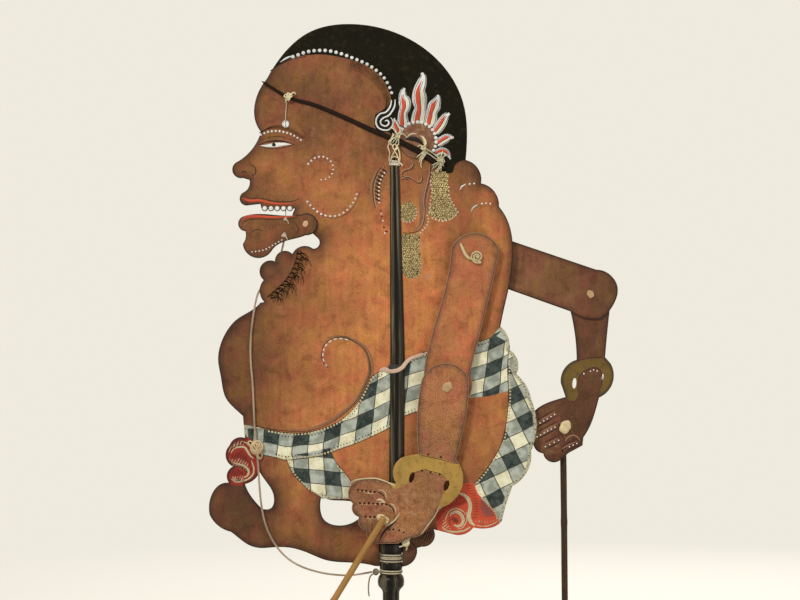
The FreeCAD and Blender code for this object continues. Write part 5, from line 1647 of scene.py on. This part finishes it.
end_knot = threads("cord_end_thread", [
    wound_ball((-11.4, -0.9, 66.2), (1.9, 1.9, 2.1), 6, (1.6, 1.9)),
    wound_ball((-11.4, -0.9, 66.2), (1.2, 1.2, 1.4), 4, (1.2, 1.5)),
    [(-11.6, -1.2, 66.4), (-9.5, -2.4, 66.6), (-7.4, -3.6, 66.3)],
    [(-12.6, -1.2, 65.2), (-15.4, -1.3, 63), (-16.6, -1.3, 58.5), (-16.9, -1.4, 52.5),
     (-16.4, -1.4, 48)]], 0.55, soiled_cotton)
for piece, node in ((guide_knot, "cord_guide_knot"), (end_knot, "cord_end_knot")):
    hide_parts(node)
    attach(piece, "figure")

# ---- Knot on the collar ----
# A scrap of pale cotton knotted to the right of the handle's collar, its ends frayed.
collar_knot = threads("collar_knot", [
    wound_ball((11.0, -4.4, 88.4), (2.5, 1.5, 2.6), 6, (1.4, 1.1)),
    wound_ball((11.4, -4.2, 87.6), (1.7, 1.2, 1.6), 4, (1.1, 1.6)),
    [(10.2, -4.2, 87.4), (8.4, -4.8, 86), (6.2, -5.6, 85.4)],
    [(12.4, -4.4, 89.8), (14, -4, 91.8)],
    [(11.2, -4.2, 86.4), (12, -3.8, 84.4), (11.2, -3.2, 82.6)]], 0.56, waxed_thread)
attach(collar_knot, "figure")

# ---- Arms ----
# Four flat pieces of rawhide, 1.2 mm thick, cut and punched right through, painted brown on both
# faces with a dark line inside a scraped pale rim. The near arm is warm, the far one greyer. Each
# forearm carries its hand and a gilded bracelet in the same sheet.
ARM_HIDE = 1.2
ARM_GRID = 2.6                   # distance between the points inside an arm's sheet
NEAR_GAP = 3.05                  # distance between the holes punched in the near hand


def round_hole(x, z, r):
    """A small round hole as a loop that turns left."""
    around = full_turn(9)
    return np.stack((x + r * np.cos(around), z + r * np.sin(around)), -1)


def punched(runs, gap, radius):
    """Round holes punched at even distances along each run of places."""
    return [round_hole(x, z, radius) for run in runs for x, z in smooth_line(run, gap)]


def punched_between(run, gap):
    """Places for small drops of paint between the punched holes of a run and a little below."""
    line = smooth_line(run, gap)
    x, z = ((line[:-1] + line[1:]) / 2).T
    return np.stack((x, z - 0.9, np.full(len(x), 0.42)), -1)


def both_faces(mid, thick):
    """The two faces of a sheet at depth mid, each as its y and its outward way."""
    return ((mid - thick / 2, -1), (mid + thick / 2, 1))


def arm_piece(name, node, body, mid, paint, warmth, gold, zones=(), holes=(), marks=()):
    """An arm's sheet with its painted lines: each mark is a list of brush lines and its paint."""
    piece = hide_sheet(name, node, [paint, gold], zones, holes, ARM_GRID, mid, ARM_HIDE)
    lay_value(piece, "warmth", warmth)
    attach(piece, body)
    for number, (lines, material) in enumerate(marks):
        drawn = ridges(f"{name}_lines_{number + 1}", lines, material, both_faces(mid, ARM_HIDE), 0.1)
        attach(drawn, body)
    return piece


NEAR_Y, NEAR_HAND_Y, FAR_Y, FAR_HAND_Y = -6.0, -7.5, 6.0, 7.5
near_paint = hide_material("near_arm_paint", (0.5, 0.18, 0.06, 1), (0.185, 0.09, 0.045, 1),
                           pale=(0.4, 0.25, 0.13, 1), fade=(0.8, 5.0), line_at=(0.7, 0.95), least=0.3)
hand_paint = hide_material("near_hand_paint", (0.43, 0.17, 0.065, 1), (0.16, 0.08, 0.04, 1),
                           pale=(0.4, 0.25, 0.13, 1), fade=(0.8, 5.0), line_at=(0.7, 0.95), least=0.3,
                           sandy=0.95)
far_paint = hide_material("far_arm_paint", (0.235, 0.1, 0.04, 1), (0.095, 0.038, 0.015, 1),
                          pale=(0.14, 0.075, 0.035, 1), fade=(0.5, 5.0), line_at=(0.25, 0.85),
                          least=0.25)
arm_piece("near_upper_arm_hide", "near_upper_arm", "near_arm", NEAR_Y, near_paint,
          lambda x, z: 0.72 + 0.3 * soft_spot(x, z, (58, 262), (20, 45)), gold_leaf)
arm_piece("far_upper_arm_hide", "far_upper_arm", "far_arm", FAR_Y, far_paint,
          lambda x, z: 0.85 - 0.45 * soft_spot(x, z, (155, 275), (28, 30)), dull_gold)

NEAR_BAND = [(20, 155.4), (27, 153.7), (37.2, 151.6), (49, 147.7), (55.5, 146), (58, 137), (56.5, 127),
             (50, 119), (44, 113.5), (37, 113), (36.6, 118), (38.4, 123.8), (41.6, 128.6), (42.7, 132.6),
             (40.7, 136.4), (36.4, 139.6), (29.6, 141.2), (23.4, 142.5), (17.4, 141.4), (14.9, 137.2),
             (12.8, 133.4), (10.4, 131.8), (6, 129.5), (1, 130), (-1, 139), (2, 149), (9, 155)]
near_band = smooth_line(NEAR_BAND, 1.4, closed=True)
NEAR_ROWS = [[(-24.6, 128), (-18.5, 127.5), (-12.2, 126.6)],
             [(-23.1, 118.3), (-14, 118.2), (-3.4, 117.4)],
             [(-18.9, 108.2), (-12, 107.9), (-5.4, 108.4)]]
near_holes = punched(NEAR_ROWS, NEAR_GAP, 0.6)
near_holes += [round_hole(x, z, r) for x, z, r in (
    (27.9, 154.6, 0.62), (37.4, 152.6, 0.62), (23.4, 142.6, 0.62), (29.6, 141.3, 0.62),
    (36.4, 139.8, 0.6), (-13.5, 98.2, 0.55), (-1.2, 98.6, 0.5), (1.8, 98.6, 0.6), (6.2, 97.8, 0.55),
    (9.6, 96.4, 0.5))]
cream_edges = [[(-31, 131.5, 0.5), (-28, 134.9, 0.9), (-21.5, 136.4, 1), (-12, 136.8, 1),
                (-4.4, 134.7, 0.9), (3.4, 131, 0.9)],
               [(36.3, 116, 0.4), (32.6, 108.6, 0.8), (26.6, 100.6, 0.9), (22.4, 94.6, 0.5)],
               [(6.4, 111.2, 0.3), (4.8, 108, 1.2), (1.6, 104.4, 1.4), (-2.3, 102, 1.3),
                (-4.6, 101.2, 0.4)]]
knuckle_lines = [[(-10, 128.4, 0.2), (-6.4, 127.8, 0.7), (-4, 125.4, 0.8), (-3.4, 121.6, 0.3)],
                 [(-1, 118.4, 0.2), (2, 116.6, 0.7), (3.4, 113.8, 0.8), (3.4, 111, 0.3)],
                 [(-20, 126, 0.2), (-16.5, 125.6, 0.7), (-13, 125, 0.3)],
                 [(-10.6, 120.6, 0.4), (-8, 121, 2), (-5.6, 119.6, 1.6), (-4.2, 118.4, 0.4)],
                 [(-9.2, 118.6, 0.3), (-6.8, 119, 0.9), (-5, 118.8, 0.3)]]
dark_folds = [[(5.4, 107.6, 0.3), (2.4, 103.6, 1.1), (-2, 100.2, 1.5), (-5.6, 96.4, 1.4), (-8, 91.5, 0.8),
               (-8.6, 89.2, 0.2)],
              [(-12, 127, 0.3), (-8.4, 126.2, 0.8), (-5.6, 124, 0.9), (-4.6, 121, 0.4)],
              [(-3.4, 117.6, 0.4), (-0.4, 116.2, 0.8), (1.8, 113.4, 0.9), (2.4, 110.4, 0.4)],
              [(-10.6, 118.2, 0.3), (-9, 117, 0.8), (-7, 116.6, 0.3)],
              [(-15.2, 95.6, 0.2), (-13.8, 99.8, 0.4), (-14.4, 103.6, 0.2)],
              [(18.6, 141.3, 0.2), (24, 143.1, 0.45), (30, 141.9, 0.5), (37, 140.1, 0.45),
               (41.4, 136.4, 0.3)],
              [(20.4, 154.7, 0.3), (28, 152.9, 0.5), (38, 150.7, 0.5), (48.2, 147.6, 0.3)]]
hand_pale = paint_material("hand_pale", (0.72, 0.54, 0.34, 1), (0.34, 0.16, 0.09, 1), 0.5)
near_forearm = arm_piece(
    "near_forearm_hide", "near_forearm", "near_hand", NEAR_HAND_Y, hand_paint,
    lambda x, z: (0.55 + 0.5 * soft_spot(x, z, (40, 195), (28, 42))
                  + 0.25 * soft_spot(x, z, (12, 110), (14, 16))), gold_leaf,
    [(near_band, 1, None)], near_holes,
    ((cream_edges, cream), (knuckle_lines, hand_pale), (dark_folds, line_black)))
lay_value(near_forearm, "wear", lambda x, z: 0.2 + 0.7 * soft_spot(x, z, (4, 112), (32, 22)))
between = [punched_between(row, NEAR_GAP) for row in NEAR_ROWS]
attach(drops("near_hand_dots", np.concatenate(between), hand_pale,
              faces=both_faces(NEAR_HAND_Y, ARM_HIDE), high=0.35), "near_hand")

FAR_BAND = [(139, 224), (145, 225.4), (150, 226.2), (159, 226.8), (164, 229), (169, 217), (167, 205),
            (158, 195), (157, 198), (158.6, 206), (158.9, 212), (157.6, 217.2), (152.4, 219.2),
            (145.4, 216.4), (141, 211.5), (140, 204), (140.8, 198), (137, 194), (128, 199), (125, 210),
            (130, 221)]
far_band = smooth_line(FAR_BAND, 1.4, closed=True)
far_rows = [[(109.4, 175.8), (116, 179.6), (123.2, 183.9)],
            [(110, 167), (118, 171.4), (126.2, 175.6)],
            [(116.2, 159.6), (121, 161.9), (126.2, 164.4)],
            [(129, 156.5), (134.5, 159.6), (140, 162)]]
far_holes = punched(far_rows, 2.9, 0.52)
far_holes += [round_hole(x, z, r) for x, z, r in (
    (145.2, 214.5, 0.6), (150.2, 216.4, 0.5), (152.6, 217.4, 0.5), (155.2, 216.6, 0.55))]


def beside_rows(right, up, widths):
    """Brushed lines along the rows of punched holes of the far hand, moved to the right and up."""
    return [[(x + right, z + up, wide) for (x, z), wide in zip(row, widths)] for row in far_rows]


far_fingers = beside_rows(0.6, -1.5, (0.5, 1.4, 0.5)) + beside_rows(0.2, 3.6, (0.4, 0.9, 0.4))
far_fingers.append([(127.6, 183, 0.3), (128.6, 178.6, 0.7), (127.6, 173.6, 0.7), (129, 167.4, 0.8),
                    (131, 163, 0.3)])
far_pale = beside_rows(-0.2, 1.5, (0.3, 0.7, 0.3))
far_pale.append([(131, 163.6, 0.4), (133.2, 166.6, 1), (137, 168.2, 1), (140.8, 166.4, 0.8),
                 (142.6, 163.4, 0.3)])
far_bracelet = [[(*place, 0.6) for place in run] for run in (FAR_BAND[:4], FAR_BAND[9:15])]
far_dark = paint_material("far_dark", (0.05, 0.02, 0.014, 1), (0.12, 0.05, 0.03, 1), 0.5, specular=0.2)
far_light = paint_material("far_light", (0.42, 0.22, 0.13, 1), (0.16, 0.06, 0.035, 1), 0.5)
far_forearm = arm_piece(
    "far_forearm_hide", "far_forearm", "far_hand", FAR_HAND_Y, far_paint,
    lambda x, z: (0.12 + 0.35 * soft_spot(x, z, (148, 245), (20, 22))
                  + 0.75 * soft_spot(x, z, (116, 172), (12, 16))), dull_gold,
    [(far_band, 1, None)], far_holes,
    ((far_fingers, far_dark), (far_pale, far_light), (far_bracelet, far_dark)))
lay_value(far_forearm, "wear", lambda x, z: 0.4 * soft_spot(x, z, (118, 168), (18, 18)))

# ---- Shoulder and elbow thongs ----
# Strips of rawhide: the shoulder's is rolled up into a flat coil at each end with its tail left
# long, and the elbows' are small folded heads, hammered flat. They turn in plain round holes.


def coil(middle, radius, laps, start, out, thick, tail):
    """The places of a rolled strip: a spiral of an even pitch, opening outwards from its middle,
    then the tail. Each place has half its width in the plane and half its depth along Y."""
    t = np.linspace(0, 1, int(laps * 14) + 1)
    turned = start + 2 * np.pi * laps * t
    wide = radius / (2 * laps + 1.2)
    r = wide * 0.6 + (radius - 1.5 * wide) * t
    x, z = middle[0] + r * np.cos(turned), middle[1] + r * np.sin(turned)
    y = middle[2] + out * 0.35 * (1 - t)
    rows = np.stack((x, y, z, np.full_like(t, wide * 0.74), np.full_like(t, thick)), -1)
    return np.vstack((rows, tail))


def folded_head(middle, radius, high, out, turned, lean=0.12):
    """A flattened head of hide on the end of a thong: a dome whose radius waves five times round,
    with a fold across it. Height over the radius r is high times (1 - r^4), less a groove where
    the two halves of the fold meet."""
    r = np.concatenate(([0.02], np.linspace(0.08, 1, 12), [1.0, 0.85, 0.3]))
    level = np.concatenate((np.ones(13), np.zeros(3)))
    around = full_turn(36)
    wave = 1 + 0.05 * np.cos(5 * around + turned) + lean * np.cos(2 * (around - turned))
    x = radius * r[:, None] * wave * np.cos(around)
    z = radius * r[:, None] * wave * np.sin(around)
    across = (x * np.cos(turned) + z * np.sin(turned)) / radius
    groove = 0.28 * np.exp(-((across - 0.15 * np.sin(3 * z / radius)) / 0.13) ** 2)
    rise = (0.3 + 0.7 * (1 - r[:, None] ** 4) - groove) * high * level[:, None]
    return np.stack((middle[0] + x, middle[1] + out * rise, middle[2] + z), -1)


rawhide = paint_material("rawhide_thong", (0.88, 0.7, 0.38, 1), (0.42, 0.26, 0.09, 1), 0.75, 0.42)
tan_hide = paint_material("tan_thong", (0.66, 0.42, 0.2, 1), (0.3, 0.15, 0.065, 1), 0.45, 0.45)
washer_hide = paint_material("washer_hide", (0.3, 0.15, 0.07, 1), (0.12, 0.055, 0.03, 1), 0.5, 0.6)


def pin_rings(x, z, radius, low, high):
    """Rings round a Y axis for a round pin of hide that runs between two depths."""
    around = full_turn(20)
    y = np.linspace(low, high, 9)[:, None]
    worn = radius * (1 - 0.04 * np.cos(3 * around))
    return np.stack(np.broadcast_arrays(x + worn * np.cos(around), y, z - worn * np.sin(around)), -1)


SHOULDER = (64.5, 303.0)
grids = [pin_rings(*SHOULDER, 1.5, -8.6, 8.6)]
for out in (-1, 1):
    tail = [(58.4, out * 7.9, 301.4, 1.1, 0.7), (56.0, out * 7.8, 303.6, 1.15, 0.6),
            (54.1, out * 7.8, 307.2, 1.1, 0.6), (51.8, out * 7.6, 312.4, 0.8, 0.5)]
    rolled = coil((64.3, 302.3, out * 8.0), 5.6, 2.3, 3.4, out, 1.2, tail)
    grids.append(bar_rings(rolled, 12, 0.45, 4, 0.2)[0])
shoulder = tube_piece("shoulder_thong_coil", grids, rawhide)
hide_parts("shoulder_thong")
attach(shoulder, "figure")

for node, (x, z), body, side in (("near_elbow_thong", (42.0, 205.0), "near_hand", -1),
                                 ("far_elbow_thong", (150.0, 274.5), "far_hand", 1)):
    grids = [pin_rings(x, z, 1.1, *sorted((side * 4.8, side * 8.4))),
             folded_head((x, side * 8.15, z), 3.9, 1.2, side, 0.7),
             folded_head((x, side * 5.06, z), 2.8, 0.42, -side, 2.1)]
    piece = tube_piece(node + "_folded", grids, tan_hide)
    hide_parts(node)
    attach(piece, body)

x, z = -64.0, 327.0              # where the jaw turns
grids = [pin_rings(x, z, 1.0, -2.9, 1.2), folded_head((x, -2.62, z), 2.3, 0.95, -1, 1.2),
         folded_head((x, 0.78, z), 2.3, 0.9, 1, 0.4)]
jaw_thong = tube_piece("jaw_pivot_folded", grids, tan_hide)
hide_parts("jaw_pivot_thong")
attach(jaw_thong, "figure")

# ---- Shoulder spacers ----
# Three washers of thick leather on each side, stacked on the thong, so that the arm clears the
# main rod. Cut with a punch: their edges are bulged and slightly out of line.
WASHER = 1.5                     # thickness of one washer
for node, side in (("near_shoulder_spacers", -1), ("far_shoulder_spacers", 1)):
    grids = []
    for number in range(3):
        depth = HIDE / 2 + WASHER * number + np.array(
            [0.04, 0.02, 0.05, 0.3, 0.75, 1.2, 1.45, 1.48, 1.46])
        radius = np.array([1.7, 4.0, 6.5, 6.85, 6.95, 6.85, 6.5, 4.0, 1.7])
        around = full_turn(40)
        uneven = 1 + 0.012 * np.sin(2 * around + 1.9 * number) + 0.008 * np.sin(5 * around + number)
        ring = radius[:, None] * uneven
        x = SHOULDER[0] + 0.12 * np.cos(2.4 * number) + ring * np.cos(around)
        z = SHOULDER[1] + 0.12 * np.sin(2.4 * number) + ring * np.sin(around)
        grids.append(np.stack(np.broadcast_arrays(x, side * depth[:, None], z), -1))
    piece = tube_piece(node + "_leather", grids, washer_hide)
    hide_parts(node)
    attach(piece, "figure")

# ---- Hand rods and their ties ----
# Each hand is led by a thin rod of split and rounded bamboo, the near one pale, the far one
# dark with age. A thong through the palm makes a loop that the rod's drilled top swings on.
HAND_ROD_R, HAND_ROD_OFF = 2.6, 13.2
LOOP_R, LOOP_BEND, LEG_OFF = 0.76, 1.4, 4.2


def rod_places(top, ahead):
    """Places down a bamboo rod: half widths swell to a knuckle at each joint of the cane, and the
    top is rounded over."""
    along = np.array([-2.55, -2.2, -1.4, 0, 3, 8, 20, 40, 62, 68, 70.5, 72.5, 75, 81, 110, 140, 160,
                      165, 167.5, 169.5, 172, 180, 205, 228, 244, 248.5, 250])
    half = np.array([0.5, 1.3, 2.2, 2.55, 2.5, 2.45, 2.45, 2.45, 2.4, 2.45, 2.6, 2.62, 2.5, 2.4, 2.4,
                     2.35, 2.4, 2.45, 2.6, 2.6, 2.45, 2.35, 2.3, 2.2, 2.1, 1.9, 0.9])
    bow = 0.1 * np.sin(along / 31.0)
    middle = np.array(top) + along[:, None] * ahead + bow[:, None] * np.cross(ahead, (0, 1, 0))
    return np.column_stack((middle, half, half))


def rounded_run(corners, bend):
    """Straight runs between corners, with each corner between the ends rounded to a circle."""
    corners = np.array(corners, float)
    found = [corners[:1]]
    for before, here, after in zip(corners, corners[1:], corners[2:]):
        back = (before - here) / np.linalg.norm(before - here)
        ahead = (after - here) / np.linalg.norm(after - here)
        half = np.arccos(np.clip(back @ ahead, -1, 1)) / 2
        reach = bend / np.tan(half)
        centre = here + (back + ahead) / np.linalg.norm(back + ahead) * bend / np.sin(half)
        first, last = here + back * reach - centre, here + ahead * reach - centre
        t = np.linspace(0, 1, 8)[:, None]
        turn = np.pi - 2 * half
        found.append(centre + (np.sin((1 - t) * turn) * first + np.sin(t * turn) * last) / np.sin(turn))
    found.append(corners[-1:])
    return np.concatenate(found)


pale_bamboo = bamboo_material("pale_bamboo", (0.52, 0.27, 0.052, 1), (0.27, 0.12, 0.035, 1), 0.45)
old_bamboo = bamboo_material("old_bamboo", (0.075, 0.036, 0.013, 1), (0.02, 0.01, 0.005, 1), 0.5, 0.18)
for side_name, (x, z), lean, out, cane in (("near", (-6.0, 106.5), 31.4, -1, pale_bamboo),
                                           ("far", (129.75, 174.0), -0.7, 1, old_bamboo)):
    forward = np.radians(lean)
    down = np.array((-np.sin(forward), 0.0, -np.cos(forward)))
    top = np.array((x, out * HAND_ROD_OFF, z))
    piece = bar(side_name + "_hand_cane", rod_places(top, down), cane, HAND_ROD_R, ends=0)
    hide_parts(side_name + "_hand_rod")
    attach(piece, side_name + "_rod")

    across = np.cross(down, (0, 1, 0))
    root = np.array((x, out * 8.4, z))
    loop = rounded_run([root + across * LEG_OFF, top + across * LEG_OFF, top - across * LEG_OFF,
                        root - across * LEG_OFF], LOOP_BEND)
    loop = np.stack([np.interp(np.linspace(0, len(loop) - 1, 90), np.arange(len(loop)), loop[:, k])
                     for k in range(3)], -1)
    grids = [rings_round(loop, *carried_frames(loop), LOOP_R, LOOP_R, 10),
             folded_head((x, out * 8.15, z), 3.9, 1.1, out, -np.radians(lean), 0.3),
             pin_rings(x, z, 1.1, *sorted((out * 6.5, out * 8.6)))]
    if side_name == "near":
        grids.append(folded_head((x, -6.6, z), 2.4, 0.5, 1, 1.0))
    else:
        grids.append(folded_head((x + 1.4, 6.62, z + 0.4), 4.7, 1.8, -1, 1.1, 0.14))
    piece = tube_piece(side_name + "_tie_thong", grids, rawhide)
    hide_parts(side_name + "_rod_tie")
    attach(piece, side_name + "_tie")
